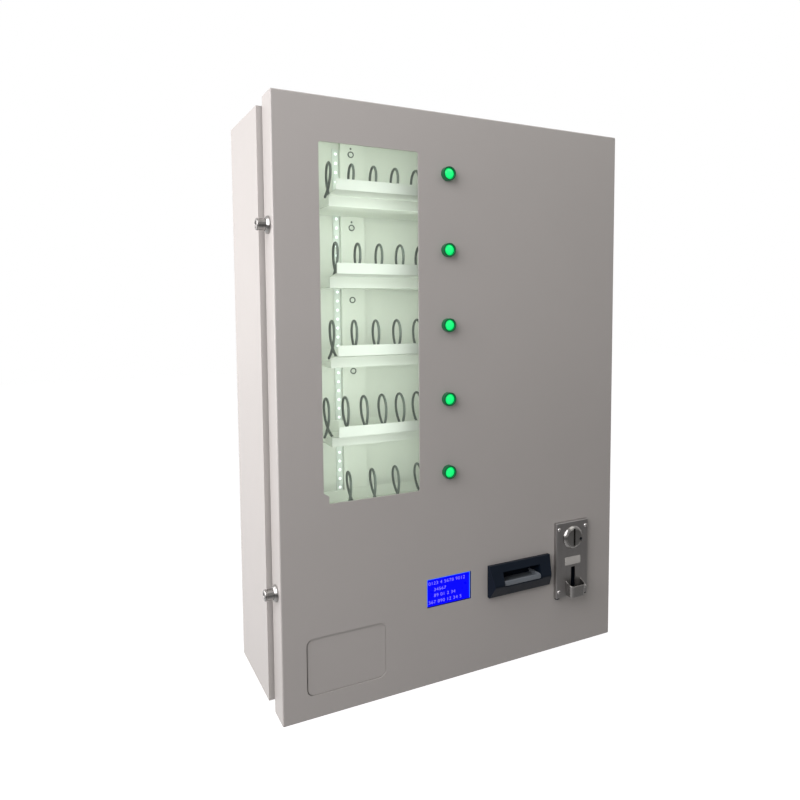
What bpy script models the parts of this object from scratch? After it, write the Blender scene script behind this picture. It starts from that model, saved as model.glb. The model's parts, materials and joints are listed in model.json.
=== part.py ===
"""Wall-held sticker vending machine.

A shallow cabinet holds five bent-sheet shelves, each with a wound wire coil that
a gear motor turns. A full-height door in front of it carries the window, the push
buttons, the display, the bill and coin slots, the pick-up flap and two locks.

Places are measured from the door's lower left front corner: x to the right,
y into the machine and z up, in metres. The finished part's origin is the centre of
the cabinet's back face, where the machine hangs on the wall.
"""
import math

import bmesh
import bpy
from mathutils import Matrix, Vector

# Whole machine
DOOR_W = 0.550
DOOR_H = 0.820
MACHINE_D = 0.200
FIT = 0.0003          # gap between pieces that are seated on each other
RUN = 0.0006          # gap between pieces that slide or turn past each other
OVER = 0.002          # how far a cut runs past the face that it cuts
STEPS = 18            # sides of a round piece
FINE_STEPS = 24       # sides of a round piece that shows at the front
SMALL_STEPS = 12      # sides of a pin, a stud or a small hole
CORNER_STEPS = 5      # steps round an outline's corner
SMALL_CORNER_STEPS = 2
WELD = FIT / 100      # points closer than this are one point
SHARP = math.radians(35)
FACING_SHARE = 0.9    # least share of a normal that counts as facing an axis
ROUND_SHARE = 0.5     # a bevel's profile where it is a quarter circle
MM = 1000             # millimetres in a metre, for what is printed

# Door: a pressed tray, open at the back, with a return lip
DOOR_D = 0.040
DOOR_SHEET = 0.0015
DOOR_LIP = 0.012
DOOR_HINGE_LIP = 0.0022
DOOR_EDGE_R = 0.0022
DOOR_EDGE_STEPS = 3
DOOR_GAP = 0.004
DOOR_BACK = DOOR_SHEET + FIT
HOLE_R = 0.001        # corners of the holes behind the bill and coin plates

# Cabinet: a shallow box, open at the front, with an inward flange all round
CAB_OUT = 0.007
CAB_LIFT = 0.0175
CAB_DROP = 0.0125
CAB_H = DOOR_H - CAB_LIFT - CAB_DROP
CAB_SHEET = 0.0012
FLANGE_SIDE = 0.026
FLANGE_TOP = 0.020
FLANGE_LOW = 0.014
CAB_FRONT = DOOR_D + DOOR_GAP
CAB_L = -CAB_OUT
CAB_R = DOOR_W + CAB_OUT
CAB_TOP = CAB_LIFT + CAB_H
BACK_IN = MACHINE_D - CAB_SHEET
FLOOR_IN = CAB_LIFT + CAB_SHEET
FLANGE_BACK = CAB_FRONT + CAB_SHEET

# Wall slots in the cabinet's back: a round mouth with a narrow slot above it
SLOT_INSET_X = 0.070
SLOT_INSET_Z = 0.060
SLOT_MOUTH_R = 0.006
SLOT_R = 0.003
SLOT_RISE = 0.014

# Window opening in the door, with a small step left in its lower left corner
WIN_X = 0.060
WIN_Z = 0.290
WIN_W = 0.140
WIN_DROP = 0.058
WIN_H = DOOR_H - WIN_Z - WIN_DROP
WIN_R = 0.003
WIN_STEP_W = 0.0075
WIN_STEP_H = 0.015
WIN_STEP_CUT = 0.005
PANE_LAP = 0.008
PANE_T = 0.003
FRAME_LIP = 0.009
FRAME_T = 0.0018
FRAME_INNER_LAP = 0.002

# Push buttons beside the window
BUTTONS = 5
BUTTON_GAP = 0.045
BUTTON_X = WIN_X + WIN_W + BUTTON_GAP
BUTTON_DROP = 0.084
BUTTON_TOP_Z = DOOR_H - BUTTON_DROP
BUTTON_LOW_Z = 0.313
BUTTON_PITCH = (BUTTON_TOP_Z - BUTTON_LOW_Z) / (BUTTONS - 1)
RING_R = 0.0098
RING_T = 0.0085
RING_CHAMFER = 0.0008
BARREL_R = 0.0078
BARREL_L = 0.021
CAP_R = 0.0074
CAP_STAND = 0.0080
CAP_DOME = 0.0014
CAP_DOME_SHARES = ((0.55, 0.25), (0.88, 0.75), (1, 1.6))  # out, and down from the top
CAP_SKIRT = 0.004
STEM_R = 0.0034
STEM_L = 0.012
CAP_TRAVEL = 0.003

# The row at the door's foot: the width left beside its four pieces is shared out
PORT_W = 0.113
LCD_W = 0.073
BILL_W = 0.111
COIN_W = 0.0625
ROW_FREE = DOOR_W - PORT_W - LCD_W - BILL_W - COIN_W
PORT_LEFT_SHARE = 0.1732
LCD_LEFT_SHARE = 0.3386
BILL_LEFT_SHARE = 0.1470
COIN_LEFT_SHARE = 0.0656
PORT_X = ROW_FREE * PORT_LEFT_SHARE
LCD_X = PORT_X + PORT_W + ROW_FREE * LCD_LEFT_SHARE
BILL_X = LCD_X + LCD_W + ROW_FREE * BILL_LEFT_SHARE
COIN_X = BILL_X + BILL_W + ROW_FREE * COIN_LEFT_SHARE

# Display module behind its opening
LCD_Z = 0.1155
LCD_H = 0.0425
LCD_R = 0.001
GLASS_LAP = 0.004
GLASS_T = 0.0075
CARD_LAP_X = 0.012
CARD_LAP_Z = 0.0095
CARD_T = 0.0016
STUD_R = 0.0025

# Bill acceptor: a ridged bezel with a deep mouth, a tongue in it and a body behind
BILL_Z = 0.1115
BILL_H = 0.049
BILL_EDGE = 0.006
BILL_RIDGE = 0.017
BILL_RIDGE_SHARE = 0.40
BILL_RIDGE_FLAT = 0.004
BILL_SIDE_TAPER = 0.004
MOUTH_X = 0.0215
MOUTH_RIGHT = 0.022
MOUTH_W = BILL_W - MOUTH_X - MOUTH_RIGHT
MOUTH_Z = 0.017
MOUTH_H = 0.021
TONGUE_T = 0.002
TONGUE_H = 0.0095
TONGUE_LEAN = 0.002
TONGUE_LIP_T = 0.0028
TONGUE_RAIL_W = 0.003
TONGUE_FRONT = 0.0150
TONGUE_BACK = 0.016
BILL_HOLE_INSET = 0.008
BODY_INSET_X = 0.008
BODY_INSET_Z = 0.012
BILL_BODY_D = 0.100
BILL_BODY_RISE = 0.020
BILL_SPINE_D = 0.030
SLIT_RISE = 0.011
SLIT_H = 0.006

# Coin acceptor: plate, entry knob, return button, return cup and the body behind
COIN_Z = 0.0845
COIN_H = 0.1225
COIN_T = 0.007
COIN_RIM = 0.0016
COIN_WALL = 0.0018
KNOB_DX = 0.0315
KNOB_DZ = 0.0965
KNOB_R = 0.0190
KNOB_FACE_R = 0.0155
KNOB_STAND = 0.0052
KNOB_FOOT = 0.0015
KNOB_SPIGOT_R = 0.0155
KNOB_CROWN_SHARE = 0.60
KNOB_CROWN_DROP = 0.0002
COIN_SLOT_W = 0.003
COIN_SLOT_H = 0.0275
COIN_MOUTH_H = 0.0300
RETURN_DX = 0.0145
RETURN_DZ = -0.0040
RETURN_R = 0.0024
RETURN_TRAVEL = 0.003
RETURN_SINK = 0.0018
CHANNEL_DX = 0.0330
CHANNEL_W = 0.0075
CHANNEL_Z0 = 0.014
CHANNEL_Z1 = 0.048
CUP_R = 0.0155
CUP_WALL = 0.0018
CUP_Z = 0.003
CUP_H = 0.0245
CUP_STAND_SHARE = 1.1
CUP_CUT_DROP = 0.0075
COIN_HOLE_INSET = 0.007
COIN_BODY_INSET = 0.0095
COIN_BODY_D = 0.062
COIN_BODY_STEP = 0.018
SCREW_INSET_X = 0.0052
SCREW_INSET_Z = 0.0105
SCREW_R = 0.0032
SCREW_DOME = 0.0018
SCREW_TOP_SHARE = 0.55

# Pick-up port and flap
PORT_Z = 0.032
PORT_H = 0.079
PORT_R = 0.010
FLAP_LAP = 0.004
FLAP_T = 0.0015
FLAP_BACK = 0.0034
FLAP_FOLD = 0.007
FLAP_RISE = 0.008
FLAP_BARREL_R = 0.0022
FLAP_PIN_R = 0.0014
FLAP_PIN_L = 0.0045
EAR_T = 0.0016
EAR_D = 0.009
EAR_H = 0.012

# Locks on the door's left wall
LOCK_LOW_Z = 0.175
LOCK_DROP = 0.165
LOCK_Z = (LOCK_LOW_Z, DOOR_H - LOCK_DROP)
LOCK_Y = DOOR_D / 2
LOCK_COLLAR_R = 0.0115
LOCK_COLLAR_T = 0.0048
LOCK_COLLAR_EDGE = 0.0014
LOCK_NECK_R = 0.0088
LOCK_BARREL_R = 0.0086
LOCK_BARREL_L = 0.020
LOCK_END_T = 0.0015
LOCK_OUT = 0.0160
LOCK_HEAD_R = 0.0073
LOCK_RIM_R = 0.0078
LOCK_RIM_T = 0.0030
LOCK_KEY_R = 0.0042
LOCK_KEY_DEPTH = 0.0022
LOCK_BOLT_R = 0.0036
LOCK_BOLT_L = 0.0022
LOCK_TRAVEL = LOCK_OUT - LOCK_RIM_T - LOCK_COLLAR_T - FIT
STRIKE_X = 0.0265
STRIKE_T = 0.002
STRIKE_TALL = 0.030
STRIKE_REACH = 0.034
STRIKE_FOOT = 0.018
STRIKE_SLOT_W = 0.009
STRIKE_SLOT_H = 0.012

# Door hinge: two pivot brackets behind the cabinet's right flange
HINGE_IN = 0.007
HINGE_FROM_BACK = 0.007
HINGE_Y = DOOR_D - HINGE_FROM_BACK
PIVOT_END = 0.050
PIVOT_Z = (PIVOT_END, DOOR_H - PIVOT_END)
PIVOT_R = 0.0025
PIVOT_BOSS_R = 0.0046
PIVOT_PIN_L = 0.007
ARM_T = 0.003
ARM_BACK = 0.0015
ARM_LEFT = 0.026
ARM_RISE = 0.013
FOOT_T = 0.002
FOOT_TALL = 0.034
FOOT_REACH = 0.009
GUSSET_T = 0.002
GUSSET_L = 0.020
HINGE_X = DOOR_W - HINGE_IN

# Shelves: bent sheet with a front lip, a ledge and a trough for the coil
SHELVES = 5
TROUGH_DROP = 0.1149
TROUGH_TOP_Z = CAB_TOP - TROUGH_DROP
TROUGH_LOW_Z = 0.2366
SHELF_PITCH = (TROUGH_TOP_Z - TROUGH_LOW_Z) / (SHELVES - 1)
SHELF_X0 = 0.098
SHELF_T = 0.0012
LIP_GAP = 0.0013
LIP_Y = FLANGE_BACK + LIP_GAP
LIP_H = 0.0150
LIP_ABOVE_TROUGH = 0.0325
LEDGE_D = 0.0315
LEDGE_Y = LIP_Y + LEDGE_D
LEDGE_FALL = 0.0040
RAIL_D = 0.0085
RAIL_Y = BACK_IN - RAIL_D
SHELF_BACK_Y = RAIL_Y - FIT
SHELF_BACK_H = 0.018

# Coils: one unbroken wire each, wound from the hub to a free end at the left
WIRE_R = 0.0019
COIL_R = 0.0330
COIL_SIDE_GAP = 0.0010
COIL_Y = LEDGE_Y + COIL_SIDE_GAP + COIL_R
CURL_POINTS = 10
COIL_LEAD = (0.0115, 0.0205, 0.0136, 0.0035, 0.0364)   # first top, from the shelf's end
COIL_PITCH = (0.0344, 0.0340, 0.0344, 0.0294, 0.0383)
COIL_TAIL_SHARE = 0.36
COIL_DRAW_IN_SHARE = 0.60
HUB_WIRE_R = 0.0170

# Hubs, motors and the partition that carries them
MOTOR_BAY = 0.177
PARTITION_X = CAB_R - MOTOR_BAY
PARTITION_BELOW = 0.0106
PARTITION_Z = TROUGH_LOW_Z - PARTITION_BELOW
PARTITION_GAP = 0.0048
PARTITION_Y = FLANGE_BACK + PARTITION_GAP
PARTITION_FOLD = 0.014
SHAFT_HOLE_R = 0.0065
HUB_R = 0.0205
HUB_T = 0.0050
HUB_GAP = 0.0012
HUB_NECK_R = 0.0055
HUB_RIM_T = 0.0016
HUB_DISH = 0.0012
SHAFT_R = 0.0030
SHAFT_IN = 0.0110
SHAFT_DEEP = 0.0125
GEARBOX = (0.024, 0.042, 0.058)
GEARBOX_LOW = 0.018
GEARBOX_EDGE = 0.002
CAN_R = 0.0125
CAN_L = 0.030
CAN_RISE = 0.020
CAN_END_R = 0.0045
CAN_END_L = 0.003

# Back rail and lamp strip on the back wall
RAIL_LEAD = 0.0575
RAIL_X = SHELF_X0 + RAIL_LEAD
RAIL_W = 0.039
RAIL_BELOW = 0.0046
RAIL_Z = TROUGH_LOW_Z - RAIL_BELOW
STRIP_W = 0.010
STRIP_T = 0.0016
STRIP_GAP = 0.001
STRIP_ABOVE = 0.0134
STRIP_Z = TROUGH_LOW_Z + STRIP_ABOVE
STRIP_TOP_DROP = 0.012

# Delivery bin behind the flap
BIN_SHEET = 0.001
BIN_SIDE_GAP = 0.014
BIN_X1 = PORT_X + PORT_W + BIN_SIDE_GAP
BIN_SILL = 0.001
BIN_Z0 = PORT_Z + BIN_SILL
BIN_FLOOR_RISE = 0.035
BIN_SIDE_H = 0.125
BIN_BACK_GAP = 0.0108
BIN_BACK_Y = BACK_IN - BIN_BACK_GAP
BIN_FRONT_TRIM = 0.012

# Cash box below the bill and coin bodies
GLAND_INSET = 0.022
GLAND_X = CAB_R - GLAND_INSET
GLAND_ROOM = 0.020
CASH_LEAD = 0.080
CASH_X = PARTITION_X - CASH_LEAD
CASH_W = GLAND_X - GLAND_ROOM - CASH_X
CASH_GAP = 0.0068
CASH_Y = FLANGE_BACK + CASH_GAP
CASH_BACK_GAP = 0.0218
CASH_D = BACK_IN - CASH_BACK_GAP - CASH_Y
CASH_H = 0.048
CASH_WALL = 0.0015
CASH_R = 0.005

# Control board and power supply on the back wall, cable gland in the floor
BOARD_INSET = 0.015
BOARD_W = 0.096
BOARD_X = CAB_R - BOARD_INSET - BOARD_W
BOARD_DROP = 0.0975
BOARD_H = 0.170
BOARD_Z = CAB_TOP - BOARD_DROP - BOARD_H
BOARD_T = 0.0016
BOARD_STAND = 0.008
BOARD_STAND_R = 0.003
BOARD_STAND_INSET = 0.006
CHIP_SHARES = (       # left, foot, width and height on the board
    (0.12, 0.10, 0.30, 0.12),
    (0.60, 0.08, 0.26, 0.20),
    (0.20, 0.36, 0.22, 0.14),
    (0.58, 0.44, 0.30, 0.10),
    (0.12, 0.66, 0.18, 0.22),
    (0.44, 0.70, 0.42, 0.16),
)
CHIP_STAND = (0.010, 0.014, 0.003, 0.009, 0.011, 0.007)
SUPPLY_INSET = 0.013
SUPPLY_W = 0.098
SUPPLY_X = CAB_R - SUPPLY_INSET - SUPPLY_W
SUPPLY_D = 0.038
SUPPLY_Z = 0.235
SUPPLY_H = 0.160
VENTS = 6
VENT_W_SHARE = 0.60
VENT_H = 0.003
VENT_DEEP = 0.0012
GLAND_FROM_BACK = 0.050
GLAND_Y = MACHINE_D - GLAND_FROM_BACK
GLAND_R = 0.0085
GLAND_NUT_R = 0.0125
GLAND_BORE_R = 0.0035
GLAND_BELOW = 0.013
GLAND_ABOVE = 0.011
GLAND_NUT_T = 0.005
GLAND_LIP = 0.0012

SHIFT = Vector((-DOOR_W / 2, -MACHINE_D, -(CAB_LIFT + CAB_H / 2)))

# Turns that point a turned piece's axis to the machine's front, left or top
DIRECTIONS = {
    "front": (math.radians(90), 0, 0),
    "left": (0, math.radians(-90), 0),
    "up": (0, 0, 0),
}

# Colour, roughness and metallic value of each finish
FINISHES = {
    "door_paint": ((0.50, 0.48, 0.46), 0.32, 0.0),
    "inner_paint": ((0.70, 0.74, 0.66), 0.45, 0.0),
    "steel": ((0.48, 0.46, 0.44), 0.30, 1.0),
    "chrome": ((0.80, 0.80, 0.80), 0.10, 1.0),
    "wire": ((0.13, 0.15, 0.13), 0.40, 0.6),
    "green": ((0.02, 0.75, 0.22), 0.25, 0.0),
    "dark_green": ((0.01, 0.22, 0.09), 0.35, 0.0),
    "blue": ((0.02, 0.02, 0.80), 0.20, 0.0),
    "black": ((0.012, 0.013, 0.020), 0.30, 0.0),
    "grey": ((0.42, 0.45, 0.48), 0.45, 0.0),
    "white": ((0.80, 0.80, 0.78), 0.45, 0.0),
    "pane": ((0.85, 0.92, 0.90), 0.05, 0.0),
    "board": ((0.02, 0.16, 0.08), 0.50, 0.0),
    "zinc": ((0.55, 0.55, 0.55), 0.45, 0.9),
}


def clear_scene():
    """Remove every object, so that only this part is left."""
    for obj in list(bpy.data.objects):
        bpy.data.objects.remove(obj, do_unlink=True)


def new_collection(name):
    group = bpy.data.collections.new(name)
    bpy.context.scene.collection.children.link(group)
    return group


clear_scene()
PARTS = new_collection("sticker_vending_machine")
TOOLS = new_collection("cutters")


def finish(obj, kind):
    """Give the object a material of its own in one of the finishes."""
    colour, roughness, metallic = FINISHES[kind]
    material = bpy.data.materials.new(obj.name + "_" + kind)
    material.use_nodes = True
    shader = material.node_tree.nodes["Principled BSDF"]
    shader.inputs["Base Color"].default_value = (*colour, 1)
    shader.inputs["Roughness"].default_value = roughness
    shader.inputs["Metallic"].default_value = metallic
    obj.data.materials.clear()
    obj.data.materials.append(material)


def guide(name, place):
    """An empty on a joint's axis, for the pieces that move with it."""
    empty = bpy.data.objects.new(name, None)
    PARTS.objects.link(empty)
    empty.location = Vector(place) + SHIFT
    return empty


def place(obj, origin, parent=None):
    """Set the object's origin, given in the door's frame, under its parent."""
    obj.location = Vector(origin) + SHIFT
    if parent is not None:
        obj.parent = parent
        obj.location -= parent.location


def piece(name, bm, kind, origin=(0, 0, 0), parent=None):
    """Make a named piece of the mesh, which is in the door's frame."""
    bmesh.ops.translate(bm, verts=bm.verts, vec=-Vector(origin))
    mesh = bpy.data.meshes.new(name)
    bm.to_mesh(mesh)
    bm.free()
    obj = bpy.data.objects.new(name, mesh)
    PARTS.objects.link(obj)
    place(obj, origin, parent)
    finish(obj, kind)
    return obj


def tool(name, bm):
    """Make a cutter, or a solid that is joined to a piece, in the door's frame."""
    mesh = bpy.data.meshes.new(name)
    bm.to_mesh(mesh)
    bm.free()
    obj = bpy.data.objects.new(name, mesh)
    TOOLS.objects.link(obj)
    obj.location = SHIFT
    obj.hide_render = True
    obj.display_type = "WIRE"
    return obj


def boolean(obj, other, operation):
    step = obj.modifiers.new(operation.lower() + "_" + other.name, "BOOLEAN")
    step.operation = operation
    step.object = other
    step.solver = "EXACT"


def cut(obj, other):
    boolean(obj, other, "DIFFERENCE")


def join(obj, other):
    boolean(obj, other, "UNION")


def evaluated_mesh(obj):
    """The object's mesh after its modifiers, with its loose caps welded."""
    bpy.context.view_layer.update()
    graph = bpy.context.evaluated_depsgraph_get()
    mesh = bpy.data.meshes.new_from_object(obj.evaluated_get(graph))
    bm = bmesh.new()
    bm.from_mesh(mesh)
    bmesh.ops.remove_doubles(bm, verts=bm.verts, dist=WELD)
    bm.to_mesh(mesh)
    bm.free()
    return mesh


def settle(obj, smooth=True):
    """Turn the object's modifiers into its mesh, smooth where it is round."""
    mesh = evaluated_mesh(obj)
    mesh.materials.clear()
    for slot in obj.material_slots:
        mesh.materials.append(slot.material)
    obj.modifiers.clear()
    obj.data = mesh
    if smooth:
        mesh.shade_smooth()
        mesh.set_sharp_from_angle(angle=SHARP)
    return obj


def twin(source, name, kind, origin, parent=None):
    """A second piece with the same mesh in another place."""
    obj = bpy.data.objects.new(name, source.data.copy())
    PARTS.objects.link(obj)
    obj.rotation_euler = source.rotation_euler
    place(obj, origin, parent)
    finish(obj, kind)
    return obj


def block(bm, low, high):
    """A box between two corners."""
    low, high = Vector(low), Vector(high)
    size = Matrix.Diagonal((*(high - low), 1))
    matrix = Matrix.Translation((low + high) / 2) @ size
    return bmesh.ops.create_cube(bm, size=1, matrix=matrix)["verts"]


def rod(bm, start, end, radius, end_radius=None, steps=STEPS):
    """A cylinder, or a cone with an end radius, between two points."""
    start, end = Vector(start), Vector(end)
    turn = (end - start).to_track_quat("Z", "Y").to_matrix().to_4x4()
    matrix = Matrix.Translation((start + end) / 2) @ turn
    last = radius if end_radius is None else end_radius
    bmesh.ops.create_cone(
        bm, cap_ends=True, segments=steps, radius1=radius, radius2=last,
        depth=(end - start).length, matrix=matrix)


def rounded_outline(low, high, radius, steps=CORNER_STEPS):
    """The points of a rectangle with round corners, anticlockwise."""
    points = []
    corners = (
        (high[0] - radius, low[1] + radius, -90), (high[0] - radius, high[1] - radius, 0),
        (low[0] + radius, high[1] - radius, 90), (low[0] + radius, low[1] + radius, 180))
    for x, z, start in corners:
        for step in range(steps + 1):
            angle = math.radians(start + 90 * step / steps)
            points.append((x + radius * math.cos(angle), z + radius * math.sin(angle)))
    return points


def slab(outline, y0, y1):
    """A flat outline in x and z, made solid between two depths."""
    curve = bpy.data.curves.new("outline", "CURVE")
    curve.dimensions = "2D"
    curve.fill_mode = "BOTH"
    curve.extrude = (y1 - y0) / 2
    spline = curve.splines.new("POLY")
    spline.points.add(len(outline) - 1)
    for point, (x, z) in zip(spline.points, outline):
        point.co = (x, z, 0, 1)
    spline.use_cyclic_u = True
    obj = bpy.data.objects.new("outline", curve)
    TOOLS.objects.link(obj)
    mesh = evaluated_mesh(obj)
    bpy.data.objects.remove(obj, do_unlink=True)
    bpy.data.curves.remove(curve)
    bm = bmesh.new()
    bm.from_mesh(mesh)
    bpy.data.meshes.remove(mesh)
    stand_up = Matrix.Rotation(math.radians(90), 4, "X")
    bmesh.ops.transform(bm, matrix=stand_up, verts=bm.verts)
    bmesh.ops.translate(bm, verts=bm.verts, vec=(0, (y0 + y1) / 2, 0))
    return bm


def turned(name, profile, kind, origin, direction, parent=None, closed=False, steps=STEPS):
    """A turned piece: radius and height pairs, heights along the direction.

    The profile runs down the outer side. A closed one has a bore.
    """
    mesh = bpy.data.meshes.new(name)
    bm = bmesh.new()
    verts = [bm.verts.new((radius, 0, height)) for radius, height in profile]
    for first, second in zip(verts, verts[1:]):
        bm.edges.new((first, second))
    if closed:
        bm.edges.new((verts[-1], verts[0]))
    bm.to_mesh(mesh)
    bm.free()
    obj = bpy.data.objects.new(name, mesh)
    PARTS.objects.link(obj)
    screw = obj.modifiers.new("turn", "SCREW")
    screw.axis = "Z"
    screw.steps = steps
    screw.render_steps = steps
    screw.use_merge_vertices = True
    screw.merge_threshold = WELD
    obj.rotation_euler = DIRECTIONS[direction]
    place(obj, origin, parent)
    finish(obj, kind)
    return settle(obj)


def solidify(obj, thickness):
    wall = obj.modifiers.new("sheet", "SOLIDIFY")
    wall.thickness = thickness
    wall.offset = -1
    wall.use_even_offset = True


def bent_sheet(name, path, plane, low, high, thickness, kind):
    """A sheet folded along a path in one plane and extruded across it.

    The thickness lies on the path's right side.
    """
    def spot(point, across):
        if plane == "yz":
            return (across, point[0], point[1])
        return (point[0], point[1], across)

    bm = bmesh.new()
    verts = [bm.verts.new(spot(point, low)) for point in path]
    edges = [bm.edges.new(pair) for pair in zip(verts, verts[1:])]
    grown = bmesh.ops.extrude_edge_only(bm, edges=edges)["geom"]
    moved = [item for item in grown if isinstance(item, bmesh.types.BMVert)]
    step = Vector(spot((0, 0), high)) - Vector(spot((0, 0), low))
    bmesh.ops.translate(bm, verts=moved, vec=step)
    obj = piece(name, bm, kind)
    solidify(obj, thickness)
    return obj


def open_box(bm, low, high, side):
    """A box without the face on one side, such as (1, 2) for the high y side."""
    verts = block(bm, low, high)
    sign, axis = side
    faces = {face for vert in verts for face in vert.link_faces}
    gone = [face for face in faces if face.normal[axis] * sign > FACING_SHARE]
    bmesh.ops.delete(bm, geom=gone, context="FACES")


def return_flange(bm, at_y, limits, widths):
    """Turn a flange inwards from the open edge of a box that is open along y.

    limits and widths go left, right, bottom, top.
    """
    rim = [edge for edge in bm.edges if edge.is_boundary]
    grown = bmesh.ops.extrude_edge_only(bm, edges=rim)["geom"]
    inner = (
        limits[0] + widths[0], limits[1] - widths[1],
        limits[2] + widths[2], limits[3] - widths[3])
    for vert in grown:
        if isinstance(vert, bmesh.types.BMVert):
            vert.co.x = min(max(vert.co.x, inner[0]), inner[1])
            vert.co.z = min(max(vert.co.z, inner[2]), inner[3])
            vert.co.y = at_y
    bmesh.ops.remove_doubles(bm, verts=bm.verts, dist=WELD)
    bmesh.ops.recalc_face_normals(bm, faces=bm.faces)


def shelf_trough(row):
    """Height of the trough's upper face in a row, the top row being 0."""
    return TROUGH_TOP_Z - SHELF_PITCH * row


def coil_axis(row):
    return shelf_trough(row) + COIL_R + RUN


def button_z(row):
    return BUTTON_TOP_Z - BUTTON_PITCH * row


def make_cabinet():
    bm = bmesh.new()
    open_box(bm, (CAB_L, CAB_FRONT, CAB_LIFT), (CAB_R, MACHINE_D, CAB_TOP), (-1, 1))
    limits = (CAB_L, CAB_R, CAB_LIFT, CAB_TOP)
    widths = (FLANGE_SIDE, FLANGE_SIDE, FLANGE_LOW, FLANGE_TOP)
    return_flange(bm, CAB_FRONT, limits, widths)
    cabinet = piece("cabinet_shell", bm, "door_paint")
    solidify(cabinet, CAB_SHEET)
    holes = bmesh.new()
    for x in (CAB_L + SLOT_INSET_X, CAB_R - SLOT_INSET_X):
        z = CAB_TOP - SLOT_INSET_Z
        rod(holes, (x, BACK_IN - OVER, z), (x, MACHINE_D + OVER, z), SLOT_MOUTH_R)
    cut(cabinet, tool("slot_mouths", holes))
    necks = bmesh.new()
    for x in (CAB_L + SLOT_INSET_X, CAB_R - SLOT_INSET_X):
        z = CAB_TOP - SLOT_INSET_Z
        block(necks, (x - SLOT_R, BACK_IN - OVER, z), (x + SLOT_R, MACHINE_D + OVER, z + SLOT_RISE))
    cut(cabinet, tool("slot_necks", necks))
    hole = bmesh.new()
    rod(hole, (GLAND_X, GLAND_Y, CAB_LIFT - OVER), (GLAND_X, GLAND_Y, FLOOR_IN + OVER), GLAND_R + FIT)
    cut(cabinet, tool("gland_hole", hole))


def make_rail_and_strip():
    path = (
        (RAIL_X + RAIL_W, BACK_IN - FIT), (RAIL_X + RAIL_W, RAIL_Y),
        (RAIL_X, RAIL_Y), (RAIL_X, BACK_IN - FIT))
    top = CAB_TOP - CAB_SHEET - FIT
    bent_sheet("rear_rail", path, "xy", RAIL_Z, top, CAB_SHEET, "inner_paint")
    bm = bmesh.new()
    right = RAIL_X - STRIP_GAP
    back = BACK_IN - FIT
    block(bm, (right - STRIP_W, back - STRIP_T, STRIP_Z), (right, back, CAB_TOP - STRIP_TOP_DROP))
    piece("lamp_strip", bm, "white")


def make_shelves():
    for row in range(SHELVES):
        top = shelf_trough(row)
        lip_low = top + LIP_ABOVE_TROUGH - LIP_H
        ledge = lip_low - LEDGE_FALL
        path = (
            (SHELF_BACK_Y, top + SHELF_BACK_H), (SHELF_BACK_Y, top - SHELF_T),
            (LEDGE_Y, top - SHELF_T), (LEDGE_Y, ledge),
            (LIP_Y, lip_low), (LIP_Y, top + LIP_ABOVE_TROUGH))
        name = "shelf_%d" % (row + 1)
        bent_sheet(name, path, "yz", SHELF_X0, PARTITION_X - FIT, SHELF_T, "inner_paint")


def make_partition():
    back = BACK_IN - FIT
    path = (
        (PARTITION_X + PARTITION_FOLD, PARTITION_Y), (PARTITION_X, PARTITION_Y),
        (PARTITION_X, back), (PARTITION_X + PARTITION_FOLD, back))
    top = CAB_TOP - CAB_SHEET - FIT
    wall = bent_sheet("motor_partition", path, "xy", PARTITION_Z, top, CAB_SHEET, "inner_paint")
    holes = bmesh.new()
    for row in range(SHELVES):
        start = (PARTITION_X - OVER, COIL_Y, coil_axis(row))
        end = (PARTITION_X + CAB_SHEET + OVER, COIL_Y, coil_axis(row))
        rod(holes, start, end, SHAFT_HOLE_R)
    cut(wall, tool("shaft_holes", holes))


def make_motors():
    """Gear motors: a gearbox against the partition and a round can on it."""
    left = PARTITION_X + CAB_SHEET + FIT
    first = None
    for row in range(SHELVES):
        origin = (left, COIL_Y, coil_axis(row))
        name = "gear_motor_%d" % (row + 1)
        if first is not None:
            twin(first, name, "zinc", origin)
            continue
        bm = bmesh.new()
        low = (left, COIL_Y - GEARBOX[1] / 2, origin[2] - GEARBOX_LOW)
        block(bm, low, (left + GEARBOX[0], COIL_Y + GEARBOX[1] / 2, low[2] + GEARBOX[2]))
        first = piece(name, bm, "zinc", origin)
        edge = first.modifiers.new("edges", "BEVEL")
        edge.width = GEARBOX_EDGE
        edge.segments = 1
        can = bmesh.new()
        z = origin[2] + CAN_RISE
        end = left + GEARBOX[0] + CAN_L
        rod(can, (left + GEARBOX[0] - OVER, COIL_Y, z), (end, COIL_Y, z), CAN_R)
        join(first, tool("motor_can", can))
        cap = bmesh.new()
        rod(cap, (end - OVER, COIL_Y, z), (end + CAN_END_L, COIL_Y, z), CAN_END_R, steps=SMALL_STEPS)
        join(first, tool("motor_can_end", cap))
        bore = bmesh.new()
        rod(bore, (left - OVER, COIL_Y, origin[2]), (left + SHAFT_DEEP, COIL_Y, origin[2]),
            SHAFT_R + FIT, steps=SMALL_STEPS)
        cut(first, tool("shaft_bore", bore))
        settle(first, smooth=False)


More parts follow.
